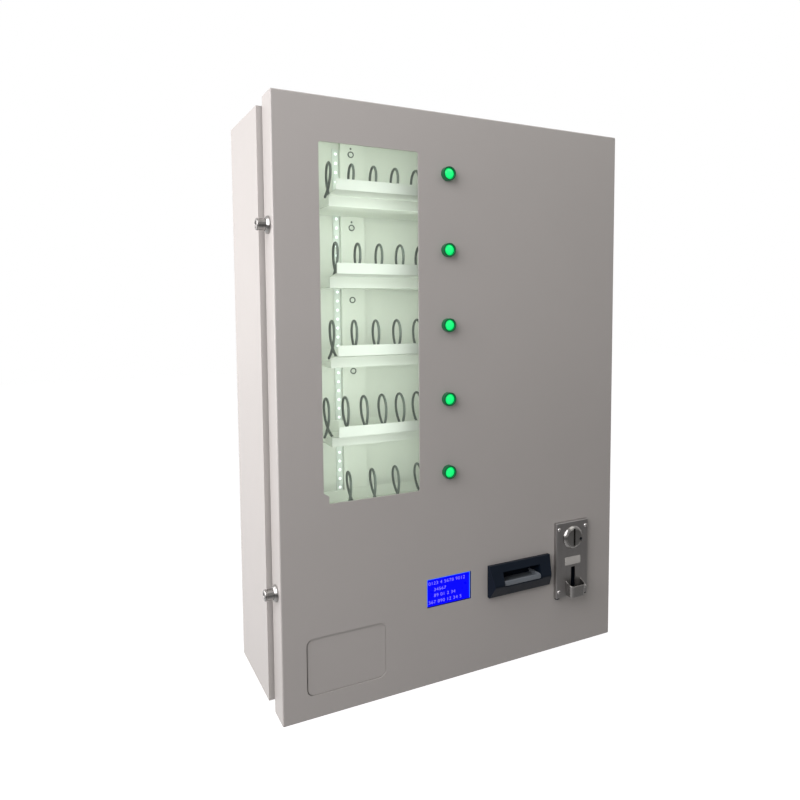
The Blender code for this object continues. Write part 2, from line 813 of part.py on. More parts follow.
def coil_points(row, hub_face):
    """The wire's centre line from the hub to the free end, about its own axis.

    A turn starts at the top and runs over the front to the bottom, moving left.
    Towards the hub the turn draws in, and the wire's end points straight at it.
    """
    mean = COIL_R - WIRE_R
    pitch = COIL_PITCH[row]
    first = SHELF_X0 + COIL_LEAD[row]
    start_x = hub_face - FIT
    straight = 2 * WIRE_R
    turns = (start_x - 2 * straight - first) / pitch + COIL_TAIL_SHARE
    count = round(turns * CURL_POINTS)
    points = []
    for step in range(count + 1):
        from_tail = (count - step) / CURL_POINTS
        angle = 2 * math.pi * (COIL_TAIL_SHARE - from_tail)
        x = first - pitch * (COIL_TAIL_SHARE - from_tail)
        from_hub = step / CURL_POINTS
        share = min(from_hub / COIL_DRAW_IN_SHARE, 1)
        ease = share * share * (3 - 2 * share)
        radius = HUB_WIRE_R + (mean - HUB_WIRE_R) * ease
        points.append(Vector((x, -radius * math.sin(angle), radius * math.cos(angle))))
    root = points[0]
    lead = [Vector((start_x, root.y, root.z)), Vector((start_x - straight, root.y, root.z))]
    tail = points[-1] + (points[-1] - points[-2]).normalized() * straight
    return lead + points + [tail]


def least_gap(points):
    """The least gap between stretches of a wire that lie half a turn apart."""
    apart = CURL_POINTS // 2
    nearest = min(
        (points[i] - points[j]).length
        for i in range(len(points)) for j in range(i + apart, len(points)))
    return nearest - 2 * WIRE_R


def make_coils():
    """Hubs and wound coils, each pair about one axis through its motor."""
    hub_face = PARTITION_X - HUB_GAP - HUB_T - HUB_DISH
    profile = (
        (0, 0), (HUB_NECK_R, 0), (HUB_NECK_R, -HUB_DISH), (HUB_R, -HUB_DISH),
        (HUB_R, -HUB_DISH - HUB_RIM_T), (HUB_NECK_R, -HUB_T),
        (HUB_NECK_R, -HUB_T - HUB_DISH),
        (SHAFT_R, -HUB_T - HUB_DISH),
        (SHAFT_R, hub_face - PARTITION_X - CAB_SHEET - SHAFT_IN),
        (0, hub_face - PARTITION_X - CAB_SHEET - SHAFT_IN))
    for row in range(SHELVES):
        axis = (hub_face, COIL_Y, coil_axis(row))
        empty = guide("coil_axis_%d" % (row + 1), axis)
        turned("coil_hub_%d" % (row + 1), profile, "black", axis, "left", empty)
        points = coil_points(row, hub_face + HUB_DISH)
        curve = bpy.data.curves.new("coil_wire", "CURVE")
        curve.dimensions = "3D"
        curve.bevel_depth = WIRE_R
        curve.bevel_resolution = 1
        curve.use_fill_caps = True
        spline = curve.splines.new("POLY")
        spline.points.add(len(points) - 1)
        for point, spot in zip(spline.points, points):
            point.co = (spot.x - hub_face, spot.y, spot.z, 1)
        spline.use_smooth = True
        coil = bpy.data.objects.new("coil_%d" % (row + 1), curve)
        PARTS.objects.link(coil)
        place(coil, axis, empty)
        finish(coil, "wire")
        gap = least_gap(points) * MM
        print("coil %d: %d points, least gap %.2f mm" % (row + 1, len(points), gap))


def make_bin():
    """Delivery bin: a sloped floor, two sides and a back, open above and in front."""
    bm = bmesh.new()
    left = CAB_L + CAB_SHEET + FIT
    front = FLANGE_BACK + BIN_SHEET
    low = (left, front, BIN_Z0)
    high = (BIN_X1, BIN_BACK_Y, BIN_Z0 + BIN_SIDE_H)
    verts = block(bm, low, high)
    for vert in verts:
        if vert.co.z < BIN_Z0 + BIN_SIDE_H / 2:
            if vert.co.y > front + BIN_SHEET:
                vert.co.z = BIN_Z0 + BIN_FLOOR_RISE
        elif vert.co.y < front + BIN_SHEET:
            vert.co.y = front + BIN_FRONT_TRIM
    gone = [face for face in bm.faces
            if face.normal.z > FACING_SHARE or face.normal.y < -FACING_SHARE]
    bmesh.ops.delete(bm, geom=gone, context="FACES")
    tray = piece("delivery_bin", bm, "inner_paint")
    solidify(tray, BIN_SHEET)


def make_cash_box():
    bm = bmesh.new()
    low = (CASH_X, CASH_Y, FLOOR_IN + FIT)
    high = (CASH_X + CASH_W, CASH_Y + CASH_D, FLOOR_IN + FIT + CASH_H)
    block(bm, low, high)
    upright = [edge for edge in bm.edges
               if abs(edge.verts[0].co.z - edge.verts[1].co.z) > CASH_H / 2]
    bmesh.ops.bevel(bm, geom=upright, offset=CASH_R, segments=CORNER_STEPS,
                    affect="EDGES", profile=ROUND_SHARE)
    gone = [face for face in bm.faces if face.normal.z > FACING_SHARE]
    bmesh.ops.delete(bm, geom=gone, context="FACES")
    tray = piece("cash_box", bm, "zinc")
    solidify(tray, CASH_WALL)


def make_electrics():
    """Control board, power supply and the cable gland."""
    back = BACK_IN - FIT
    board_y = back - BOARD_STAND - BOARD_T
    bm = bmesh.new()
    block(bm, (BOARD_X, board_y, BOARD_Z), (BOARD_X + BOARD_W, board_y + BOARD_T, BOARD_Z + BOARD_H))
    board = piece("control_board", bm, "board")
    studs = bmesh.new()
    for x in (BOARD_X + BOARD_STAND_INSET, BOARD_X + BOARD_W - BOARD_STAND_INSET):
        for z in (BOARD_Z + BOARD_STAND_INSET, BOARD_Z + BOARD_H - BOARD_STAND_INSET):
            rod(studs, (x, board_y + BOARD_T / 2, z), (x, back, z), BOARD_STAND_R, steps=SMALL_STEPS)
    join(board, tool("board_studs", studs))
    chips = bmesh.new()
    for shares, stand in zip(CHIP_SHARES, CHIP_STAND):
        x = BOARD_X + BOARD_W * shares[0]
        z = BOARD_Z + BOARD_H * shares[1]
        block(chips, (x, board_y - stand, z),
              (x + BOARD_W * shares[2], board_y + BOARD_T / 2, z + BOARD_H * shares[3]))
    join(board, tool("board_chips", chips))
    bm = bmesh.new()
    block(bm, (SUPPLY_X, back - SUPPLY_D, SUPPLY_Z), (SUPPLY_X + SUPPLY_W, back, SUPPLY_Z + SUPPLY_H))
    supply = piece("power_supply", bm, "zinc")
    vents = bmesh.new()
    for number in range(VENTS):
        z = SUPPLY_Z + SUPPLY_H * (number + 1) / (VENTS + 1)
        inset = SUPPLY_W * (1 - VENT_W_SHARE) / 2
        block(vents, (SUPPLY_X + inset, back - SUPPLY_D - OVER, z - VENT_H / 2),
              (SUPPLY_X + SUPPLY_W - inset, back - SUPPLY_D + VENT_DEEP, z + VENT_H / 2))
    cut(supply, tool("supply_vents", vents))
    below = FIT + GLAND_NUT_T
    profile = (
        (GLAND_BORE_R, CAB_SHEET + GLAND_ABOVE), (GLAND_R, CAB_SHEET + GLAND_ABOVE),
        (GLAND_R, -FIT), (GLAND_NUT_R, -FIT), (GLAND_NUT_R, -below),
        (GLAND_R, -below - FIT), (GLAND_BORE_R + GLAND_LIP, -GLAND_BELOW),
        (GLAND_BORE_R, -GLAND_BELOW))
    turned("cable_gland", profile, "black", (GLAND_X, GLAND_Y, CAB_LIFT), "up", closed=True)


def make_strikes():
    """Lock brackets: a foot in front of the left flange and a cheek with a slot."""
    for number, z in enumerate(LOCK_Z):
        foot_y = CAB_FRONT - FIT
        path = (
            (STRIKE_X + STRIKE_T - STRIKE_FOOT, foot_y), (STRIKE_X + STRIKE_T, foot_y),
            (STRIKE_X + STRIKE_T, foot_y - STRIKE_REACH))
        name = "lock_strike_%d" % (number + 1)
        low = z - STRIKE_TALL / 2
        strike = bent_sheet(name, path, "xy", low, low + STRIKE_TALL, STRIKE_T, "steel")
        slot = bmesh.new()
        block(slot, (STRIKE_X - OVER, LOCK_Y - STRIKE_SLOT_W / 2, z - STRIKE_SLOT_H / 2),
              (STRIKE_X + STRIKE_T + OVER, LOCK_Y + STRIKE_SLOT_W / 2, z + STRIKE_SLOT_H / 2))
        cut(strike, tool("strike_slot_%d" % (number + 1), slot))


def make_pivots():
    """Hinge brackets: an arm round the cabinet's flange with a pin for the door."""
    foot_left = HINGE_X - ARM_LEFT
    foot_y = FLANGE_BACK + FIT
    for number, z in enumerate(PIVOT_Z):
        low = z - ARM_T
        arm = bmesh.new()
        rod(arm, (HINGE_X, HINGE_Y, low), (HINGE_X, HINGE_Y, z), PIVOT_BOSS_R)
        bracket = piece("hinge_bracket_%d" % (number + 1), arm, "steel")
        reach = bmesh.new()
        block(reach, (foot_left, HINGE_Y - PIVOT_BOSS_R, low), (HINGE_X, HINGE_Y + ARM_BACK, z))
        join(bracket, tool("arm_reach_%d" % (number + 1), reach))
        back = bmesh.new()
        block(back, (foot_left, HINGE_Y, low), (foot_left + ARM_RISE, foot_y + FOOT_T, z))
        join(bracket, tool("arm_back_%d" % (number + 1), back))
        foot = bmesh.new()
        middle = z - ARM_T / 2
        block(foot, (foot_left, foot_y, middle - FOOT_TALL / 2),
              (HINGE_X + FOOT_REACH, foot_y + FOOT_T, middle + FOOT_TALL / 2))
        join(bracket, tool("arm_foot_%d" % (number + 1), foot))
        pin = bmesh.new()
        rod(pin, (HINGE_X, HINGE_Y, low + ARM_T / 2), (HINGE_X, HINGE_Y, z + PIVOT_PIN_L),
            PIVOT_R, steps=SMALL_STEPS)
        join(bracket, tool("pivot_pin_%d" % (number + 1), pin))


def window_outline():
    """The window's opening, with the step left at its lower left corner."""
    outline = rounded_outline((WIN_X, WIN_Z), (WIN_X + WIN_W, WIN_Z + WIN_H), WIN_R)
    kept = [point for point in outline
            if point[0] > WIN_X + WIN_STEP_W or point[1] > WIN_Z + WIN_STEP_H]
    kept.append((WIN_X, WIN_Z + WIN_STEP_H))
    kept.append((WIN_X + WIN_STEP_W, WIN_Z + WIN_STEP_H - WIN_STEP_CUT))
    kept.append((WIN_X + WIN_STEP_W, WIN_Z))
    return kept


def bill_opening():
    low = (BILL_X + BILL_HOLE_INSET, BILL_Z + BILL_HOLE_INSET)
    high = (BILL_X + BILL_W - BILL_HOLE_INSET, BILL_Z + BILL_H - BILL_HOLE_INSET)
    return low, high


def coin_opening():
    low = (COIN_X + COIN_HOLE_INSET, COIN_Z + COIN_HOLE_INSET)
    high = (COIN_X + COIN_W - COIN_HOLE_INSET, COIN_Z + COIN_H - COIN_HOLE_INSET)
    return low, high


def flap_axis():
    return FLAP_BACK + FLAP_T / 2, PORT_Z + PORT_H + FLAP_RISE


def make_door(pivot):
    bm = bmesh.new()
    block(bm, (0, 0, 0), (DOOR_W, DOOR_D, DOOR_H))
    soft = [edge for edge in bm.edges
            if not all(vert.co.y > DOOR_D / 2 for vert in edge.verts)]
    bmesh.ops.bevel(bm, geom=soft, offset=DOOR_EDGE_R, segments=DOOR_EDGE_STEPS,
                    affect="EDGES", profile=ROUND_SHARE)
    gone = [face for face in bm.faces if face.normal.y > FACING_SHARE]
    bmesh.ops.delete(bm, geom=gone, context="FACES")
    limits = (0, DOOR_W, 0, DOOR_H)
    widths = (DOOR_LIP, DOOR_HINGE_LIP, DOOR_LIP, DOOR_LIP)
    return_flange(bm, DOOR_D, limits, widths)
    door = piece("door_shell", bm, "door_paint", (HINGE_X, HINGE_Y, 0), pivot)
    solidify(door, DOOR_SHEET)
    # Gussets that sit on the hinge brackets, and the flap's ears
    plates = bmesh.new()
    for z in PIVOT_Z:
        block(plates, (HINGE_X - GUSSET_L / 2, DOOR_SHEET / 2, z + RUN),
              (DOOR_W - DOOR_SHEET / 2, HINGE_Y + PIVOT_BOSS_R, z + RUN + GUSSET_T))
    ear_y, ear_z = flap_axis()
    inner = PORT_X - FLAP_LAP - RUN
    outer = PORT_X + PORT_W + FLAP_LAP + RUN
    for x0 in (inner - EAR_T, outer):
        block(plates, (x0, DOOR_SHEET / 2, ear_z - EAR_H / 2), (x0 + EAR_T, EAR_D, ear_z + EAR_H / 2))
    join(door, tool("door_plates", plates))
    holes = bmesh.new()
    for z in PIVOT_Z:
        rod(holes, (HINGE_X, HINGE_Y, z + RUN - OVER), (HINGE_X, HINGE_Y, z + RUN + GUSSET_T + OVER),
            PIVOT_R + FIT, steps=SMALL_STEPS)
    rod(holes, (inner - EAR_T - OVER, ear_y, ear_z), (inner + OVER, ear_y, ear_z),
        FLAP_PIN_R + FIT, steps=SMALL_STEPS)
    rod(holes, (outer - OVER, ear_y, ear_z), (outer + EAR_T + OVER, ear_y, ear_z),
        FLAP_PIN_R + FIT, steps=SMALL_STEPS)
    for z in LOCK_Z:
        rod(holes, (-OVER, LOCK_Y, z), (DOOR_SHEET + OVER, LOCK_Y, z), LOCK_BARREL_R + FIT)
    for row in range(BUTTONS):
        z = button_z(row)
        rod(holes, (BUTTON_X, -OVER, z), (BUTTON_X, DOOR_SHEET + OVER, z), BARREL_R + FIT)
    cut(door, tool("door_round_holes", holes))
    port_high = (PORT_X + PORT_W, PORT_Z + PORT_H)
    lcd_high = (LCD_X + LCD_W, LCD_Z + LCD_H)
    outlines = {
        "window_hole": window_outline(),
        "port_hole": rounded_outline((PORT_X, PORT_Z), port_high, PORT_R),
        "display_hole": rounded_outline((LCD_X, LCD_Z), lcd_high, LCD_R, SMALL_CORNER_STEPS),
        "bill_hole": rounded_outline(*bill_opening(), HOLE_R, SMALL_CORNER_STEPS),
        "coin_hole": rounded_outline(*coin_opening(), HOLE_R, SMALL_CORNER_STEPS),
    }
    for name, outline in outlines.items():
        cut(door, tool(name, slab(outline, -OVER, DOOR_SHEET + OVER)))


def make_window(pivot):
    low = (WIN_X - PANE_LAP, WIN_Z - PANE_LAP)
    high = (WIN_X + WIN_W + PANE_LAP, WIN_Z + WIN_H + PANE_LAP)
    bm = bmesh.new()
    block(bm, (low[0], DOOR_BACK, low[1]), (high[0], DOOR_BACK + PANE_T, high[1]))
    piece("window_pane", bm, "pane", (HINGE_X, HINGE_Y, 0), pivot)
    bm = bmesh.new()
    back = DOOR_BACK + PANE_T + FIT + FRAME_T
    block(bm, (low[0] - FRAME_LIP, DOOR_BACK, low[1] - FRAME_LIP),
          (high[0] + FRAME_LIP, back, high[1] + FRAME_LIP))
    frame = piece("window_frame", bm, "black", (HINGE_X, HINGE_Y, 0), pivot)
    seat = bmesh.new()
    block(seat, (low[0] - FIT, DOOR_BACK - OVER, low[1] - FIT),
          (high[0] + FIT, back - FRAME_T, high[1] + FIT))
    cut(frame, tool("pane_seat", seat))
    view = bmesh.new()
    block(view, (WIN_X - FRAME_INNER_LAP, DOOR_BACK - OVER, WIN_Z - FRAME_INNER_LAP),
          (WIN_X + WIN_W + FRAME_INNER_LAP, back + OVER, WIN_Z + WIN_H + FRAME_INNER_LAP))
    cut(frame, tool("frame_view", view))


def make_buttons(pivot):
    """Lit push buttons: a threaded ring in the door and a domed cap in it."""
    bore = CAP_R + FIT
    shoulder = -CAP_SKIRT - CAP_TRAVEL - FIT
    ring = (
        (bore, RING_T), (RING_R - RING_CHAMFER, RING_T), (RING_R, RING_T - RING_CHAMFER),
        (RING_R, FIT), (BARREL_R, FIT), (BARREL_R, -BARREL_L),
        (STEM_R + RUN, -BARREL_L), (STEM_R + RUN, shoulder), (bore, shoulder))
    dome = [(CAP_R * out, CAP_STAND - CAP_DOME * down) for out, down in CAP_DOME_SHARES]
    cap = (
        (0, CAP_STAND), *dome, (CAP_R, -CAP_SKIRT), (STEM_R, -CAP_SKIRT),
        (STEM_R, -CAP_SKIRT - STEM_L), (0, -CAP_SKIRT - STEM_L))
    first_ring = None
    first_cap = None
    for row in range(BUTTONS):
        spot = (BUTTON_X, 0, button_z(row))
        names = ("button_ring_%d" % (row + 1), "button_cap_%d" % (row + 1))
        if first_ring is None:
            first_ring = turned(names[0], ring, "dark_green", spot, "front", pivot, True, FINE_STEPS)
            first_cap = turned(names[1], cap, "green", spot, "front", pivot, steps=FINE_STEPS)
        else:
            twin(first_ring, names[0], "dark_green", spot, pivot)
            twin(first_cap, names[1], "green", spot, pivot)


def make_display(pivot):
    """Display: glass block, its card behind and four studs to the door's sheet."""
    bm = bmesh.new()
    low = (LCD_X - GLASS_LAP, LCD_Z - GLASS_LAP)
    high = (LCD_X + LCD_W + GLASS_LAP, LCD_Z + LCD_H + GLASS_LAP)
    block(bm, (low[0], DOOR_BACK, low[1]), (high[0], DOOR_BACK + GLASS_T, high[1]))
    module = piece("display_module", bm, "blue", (HINGE_X, HINGE_Y, 0), pivot)
    card = bmesh.new()
    card_y = DOOR_BACK + GLASS_T - CARD_T / 2
    block(card, (low[0] - CARD_LAP_X, card_y, low[1] - CARD_LAP_Z),
          (high[0] + CARD_LAP_X, card_y + CARD_T, high[1] + CARD_LAP_Z))
    join(module, tool("display_card", card))
    studs = bmesh.new()
    for x in (low[0] - CARD_LAP_X / 2, high[0] + CARD_LAP_X / 2):
        for z in (low[1] - CARD_LAP_Z / 2, high[1] + CARD_LAP_Z / 2):
            rod(studs, (x, DOOR_BACK, z), (x, card_y + CARD_T / 2, z), STUD_R, steps=SMALL_STEPS)
    join(module, tool("display_studs", studs))


def make_bill_acceptor(pivot):
    """A bezel with a ridge, its deep mouth, a light tongue tray and the body behind."""
    bm = bmesh.new()
    block(bm, (BILL_X, -BILL_EDGE, BILL_Z), (BILL_X + BILL_W, -FIT, BILL_Z + BILL_H))
    middle = BILL_X + BILL_W / 2
    ridge = BILL_Z + BILL_H * BILL_RIDGE_SHARE
    for z in (ridge - BILL_RIDGE_FLAT / 2, ridge + BILL_RIDGE_FLAT / 2):
        bmesh.ops.bisect_plane(
            bm, geom=bm.verts[:] + bm.edges[:] + bm.faces[:], dist=WELD,
            plane_co=(0, 0, z), plane_no=(0, 0, 1))
    for vert in bm.verts:
        if vert.co.y < -BILL_EDGE / 2 and abs(vert.co.z - ridge) < BILL_RIDGE_FLAT:
            vert.co.y = -BILL_RIDGE
            vert.co.x += BILL_SIDE_TAPER if vert.co.x < middle else -BILL_SIDE_TAPER
    bezel = piece("bill_bezel", bm, "black", (HINGE_X, HINGE_Y, 0), pivot)
    x0 = BILL_X + MOUTH_X
    z0 = BILL_Z + MOUTH_Z
    neck = bmesh.new()
    low, high = bill_opening()
    block(neck, (low[0] + FIT, -BILL_EDGE / 2, low[1] + FIT),
          (high[0] - FIT, TONGUE_BACK + TONGUE_T, high[1] - FIT))
    join(bezel, tool("bill_neck", neck))
    mouth = bmesh.new()
    block(mouth, (x0, -BILL_RIDGE - OVER, z0), (x0 + MOUTH_W, FIT, z0 + MOUTH_H))
    cut(bezel, tool("bill_mouth", mouth))
    slit_z = z0 + SLIT_RISE
    funnel = bmesh.new()
    deep = block(funnel, (x0, -OVER, z0), (x0 + MOUTH_W, TONGUE_BACK, z0 + MOUTH_H))
    for vert in deep:
        if vert.co.y > 0 and vert.co.z > slit_z:
            vert.co.z = slit_z + SLIT_H
    cut(bezel, tool("bill_funnel", funnel))
    slit = bmesh.new()
    block(slit, (x0, TONGUE_BACK - OVER, slit_z),
          (x0 + MOUTH_W, TONGUE_BACK + TONGUE_T + OVER, slit_z + SLIT_H))
    cut(bezel, tool("bill_slit", slit))

    left = x0 + FIT
    right = x0 + MOUTH_W - FIT
    floor_z = z0 + FIT
    bm = bmesh.new()
    bulk = block(bm, (left, -TONGUE_FRONT, floor_z), (right, TONGUE_BACK - FIT, floor_z + TONGUE_H))
    for vert in bulk:
        if vert.co.y < 0 and vert.co.z > floor_z + TONGUE_H / 2:
            vert.co.y += TONGUE_LEAN
    tongue = piece("bill_tongue", bm, "grey", (HINGE_X, HINGE_Y, 0), pivot)
    hollow = bmesh.new()
    inside = block(
        hollow, (left + TONGUE_RAIL_W, -TONGUE_FRONT + TONGUE_LIP_T, floor_z + TONGUE_T),
        (right - TONGUE_RAIL_W, TONGUE_BACK + OVER, floor_z + TONGUE_H + OVER))
    for vert in inside:
        if vert.co.y < 0 and vert.co.z > floor_z + TONGUE_H:
            vert.co.y += TONGUE_LEAN
    cut(tongue, tool("tongue_hollow", hollow))

    body_x0 = BILL_X + BODY_INSET_X + FIT
    body_x1 = BILL_X + BILL_W - BODY_INSET_X - FIT
    body_y = TONGUE_BACK + TONGUE_T + FIT
    bm = bmesh.new()
    block(bm, (body_x0, body_y, BILL_Z - BODY_INSET_Z),
          (body_x1, BILL_BODY_D, BILL_Z + BILL_H + BILL_BODY_RISE))
    body = piece("bill_validator", bm, "black", (HINGE_X, HINGE_Y, 0), pivot)
    step = bmesh.new()
    block(step, (body_x0 - OVER, body_y - OVER, BILL_Z + BILL_H),
          (body_x1 + OVER, BILL_BODY_D - BILL_SPINE_D, BILL_Z + BILL_H + BILL_BODY_RISE + OVER))
    cut(body, tool("validator_step", step))
    path = bmesh.new()
    block(path, (x0, body_y - OVER, slit_z),
          (x0 + MOUTH_W, BILL_BODY_D - BILL_SPINE_D, slit_z + SLIT_H))
    cut(body, tool("validator_path", path))


def make_coin_acceptor(pivot):
    """The coin plate with its knob, return button, cup and the body behind."""
    front = -COIN_T
    centre = (COIN_X + KNOB_DX, 0, COIN_Z + KNOB_DZ)
    home = (HINGE_X, HINGE_Y, 0)
    bm = bmesh.new()
    block(bm, (COIN_X, front, COIN_Z), (COIN_X + COIN_W, -FIT, COIN_Z + COIN_H))
    soft = [edge for edge in bm.edges if not all(vert.co.y > front / 2 for vert in edge.verts)]
    bmesh.ops.bevel(bm, geom=soft, offset=COIN_RIM, segments=2,
                    affect="EDGES", profile=ROUND_SHARE)
    gone = [face for face in bm.faces if face.normal.y > FACING_SHARE]
    bmesh.ops.delete(bm, geom=gone, context="FACES")
    plate = piece("coin_plate", bm, "steel", home, pivot)
    solidify(plate, COIN_WALL)
    heads = bmesh.new()
    for x in (COIN_X + SCREW_INSET_X, COIN_X + COIN_W - SCREW_INSET_X):
        for z in (COIN_Z + SCREW_INSET_Z, COIN_Z + COIN_H - SCREW_INSET_Z):
            rod(heads, (x, front + COIN_WALL / 2, z), (x, front - SCREW_DOME, z),
                SCREW_R, SCREW_R * SCREW_TOP_SHARE, steps=SMALL_STEPS)
    join(plate, tool("plate_screws", heads))
    holes = bmesh.new()
    rod(holes, (centre[0], front - OVER, centre[2]), (centre[0], front + COIN_WALL + OVER, centre[2]),
        KNOB_SPIGOT_R + FIT)
    return_x = centre[0] + RETURN_DX
    return_z = centre[2] + RETURN_DZ
    channel_x = COIN_X + CHANNEL_DX
    block(holes, (channel_x - CHANNEL_W / 2, front - OVER, COIN_Z + CHANNEL_Z0),
          (channel_x + CHANNEL_W / 2, front + COIN_WALL + OVER, COIN_Z + CHANNEL_Z1))
    cut(plate, tool("plate_holes", holes))
    side = bmesh.new()
    rod(side, (return_x, front - OVER, return_z), (return_x, front + COIN_WALL + OVER, return_z),
        RETURN_R + FIT, steps=SMALL_STEPS)
    cut(plate, tool("plate_button_hole", side))

    profile = (
        (0, KNOB_STAND), (KNOB_FACE_R * KNOB_CROWN_SHARE, KNOB_STAND - KNOB_CROWN_DROP),
        (KNOB_FACE_R, KNOB_STAND - KNOB_FOOT), (KNOB_R, KNOB_FOOT), (KNOB_R, FIT),
        (KNOB_SPIGOT_R, FIT), (KNOB_SPIGOT_R, -COIN_T + FIT), (0, -COIN_T + FIT))
    knob = turned("coin_knob", profile, "chrome", (centre[0], front, centre[2]), "front",
                  pivot, steps=FINE_STEPS)
    slot = bmesh.new()
    block(slot, (centre[0] - COIN_SLOT_W / 2, front - KNOB_STAND - OVER, centre[2] - COIN_SLOT_H / 2),
          (centre[0] + COIN_SLOT_W / 2, OVER, centre[2] + COIN_SLOT_H / 2))
    cut(knob, tool("coin_slot", slot))
    mouth = bmesh.new()
    block(mouth, (centre[0] - COIN_SLOT_W / 2, front - KNOB_STAND - OVER, centre[2] - COIN_MOUTH_H / 2),
          (centre[0] + COIN_SLOT_W / 2, front - KNOB_STAND / 2, centre[2] + COIN_MOUTH_H / 2))
    cut(knob, tool("coin_mouth", mouth))
    well = bmesh.new()
    rod(well, (return_x, front - KNOB_STAND - OVER, return_z), (return_x, OVER, return_z),
        RETURN_R + FIT, steps=SMALL_STEPS)
    cut(knob, tool("return_well", well))
    settle(knob, smooth=True)
    face = front - KNOB_STAND + RETURN_SINK
    bm = bmesh.new()
    rod(bm, (return_x, face, return_z), (return_x, -RETURN_TRAVEL, return_z), RETURN_R, steps=SMALL_STEPS)
    piece("coin_return_button", bm, "black", (return_x, face, return_z), pivot)

    make_cup(pivot, channel_x, front)
    bm = bmesh.new()
    low = (COIN_X + COIN_BODY_INSET, FIT, COIN_Z + COIN_BODY_INSET)
    high = (COIN_X + COIN_W - COIN_BODY_INSET, COIN_BODY_D, COIN_Z + COIN_H - COIN_BODY_INSET)
    block(bm, low, high)
    body = piece("coin_mechanism", bm, "black", home, pivot)
    step = bmesh.new()
    block(step, (low[0] - OVER, COIN_BODY_D - COIN_BODY_STEP, low[2] - OVER),
          (high[0] + OVER, COIN_BODY_D + OVER, low[2] + COIN_BODY_STEP))
    cut(body, tool("coin_body_step", step))
    path = bmesh.new()
    block(path, (centre[0] - COIN_SLOT_W / 2, -OVER, centre[2] - COIN_SLOT_H / 2),
          (centre[0] + COIN_SLOT_W / 2, COIN_BODY_D - COIN_BODY_STEP, centre[2] + COIN_SLOT_H / 2))
    cut(body, tool("coin_path", path))


def make_cup(pivot, x, front):
    """The return cup: a half-round scoop on the plate, open above, cut on a slant."""
    bottom = COIN_Z + CUP_Z
    top = bottom + CUP_H
    bm = bmesh.new()
    rod(bm, (x, front, bottom), (x, front, top), CUP_R, steps=FINE_STEPS)
    bmesh.ops.scale(bm, verts=bm.verts, vec=(1, CUP_STAND_SHARE, 1),
                    space=Matrix.Translation((-x, -front, 0)))
    cup = piece("coin_return_cup", bm, "chrome", (HINGE_X, HINGE_Y, 0), pivot)
    hollow = bmesh.new()
    rod(hollow, (x, front, bottom + CUP_WALL), (x, front, top + OVER), CUP_R - CUP_WALL,
        steps=FINE_STEPS)
    bmesh.ops.scale(hollow, verts=hollow.verts, vec=(1, CUP_STAND_SHARE, 1),
                    space=Matrix.Translation((-x, -front, 0)))
    cut(cup, tool("cup_hollow", hollow))
    back = bmesh.new()
    block(back, (x - CUP_R - OVER, front - FIT, bottom - OVER),
          (x + CUP_R + OVER, front + CUP_R + OVER, top + OVER))
    cut(cup, tool("cup_back", back))
    slant = bmesh.new()
    verts = block(slant, (x - CUP_R - OVER, front - CUP_R - OVER, top - CUP_CUT_DROP),
                  (x + CUP_R + OVER, front + OVER, top + CUP_R))
    for vert in verts:
        if vert.co.z < top and vert.co.y > front:
            vert.co.z = top
    cut(cup, tool("cup_slant", slant))


def make_flap(pivot):
    """The pick-up flap: a plate with folded edges on a barrel with two pins."""
    axis_y, axis_z = flap_axis()
    x0 = PORT_X - FLAP_LAP
    x1 = PORT_X + PORT_W + FLAP_LAP
    z0 = PORT_Z - FLAP_LAP
    bm = bmesh.new()
    block(bm, (x0, FLAP_BACK, z0), (x1, FLAP_BACK + FLAP_T, axis_z))
    flap = piece("pickup_flap", bm, "door_paint", ((x0 + x1) / 2, axis_y, axis_z), pivot)
    folds = bmesh.new()
    back = FLAP_BACK + FLAP_FOLD
    middle = FLAP_BACK + FLAP_T / 2
    block(folds, (x0, middle, z0), (x1, back, z0 + FLAP_T))
    join(flap, tool("flap_low_fold", folds))
    sides = bmesh.new()
    fold_top = axis_z - FLAP_BARREL_R - FLAP_FOLD
    block(sides, (x0, middle, z0), (x0 + FLAP_T, back, fold_top))
    block(sides, (x1 - FLAP_T, middle, z0), (x1, back, fold_top))
    join(flap, tool("flap_side_folds", sides))
    barrel = bmesh.new()
    rod(barrel, (x0, axis_y, axis_z), (x1, axis_y, axis_z), FLAP_BARREL_R, steps=SMALL_STEPS)
    join(flap, tool("flap_barrel", barrel))
    pins = bmesh.new()
    for x, way in ((x0, -1), (x1, 1)):
        rod(pins, (x - way * OVER, axis_y, axis_z), (x + way * FLAP_PIN_L, axis_y, axis_z),
            FLAP_PIN_R, steps=SMALL_STEPS)
    join(flap, tool("flap_pins", pins))


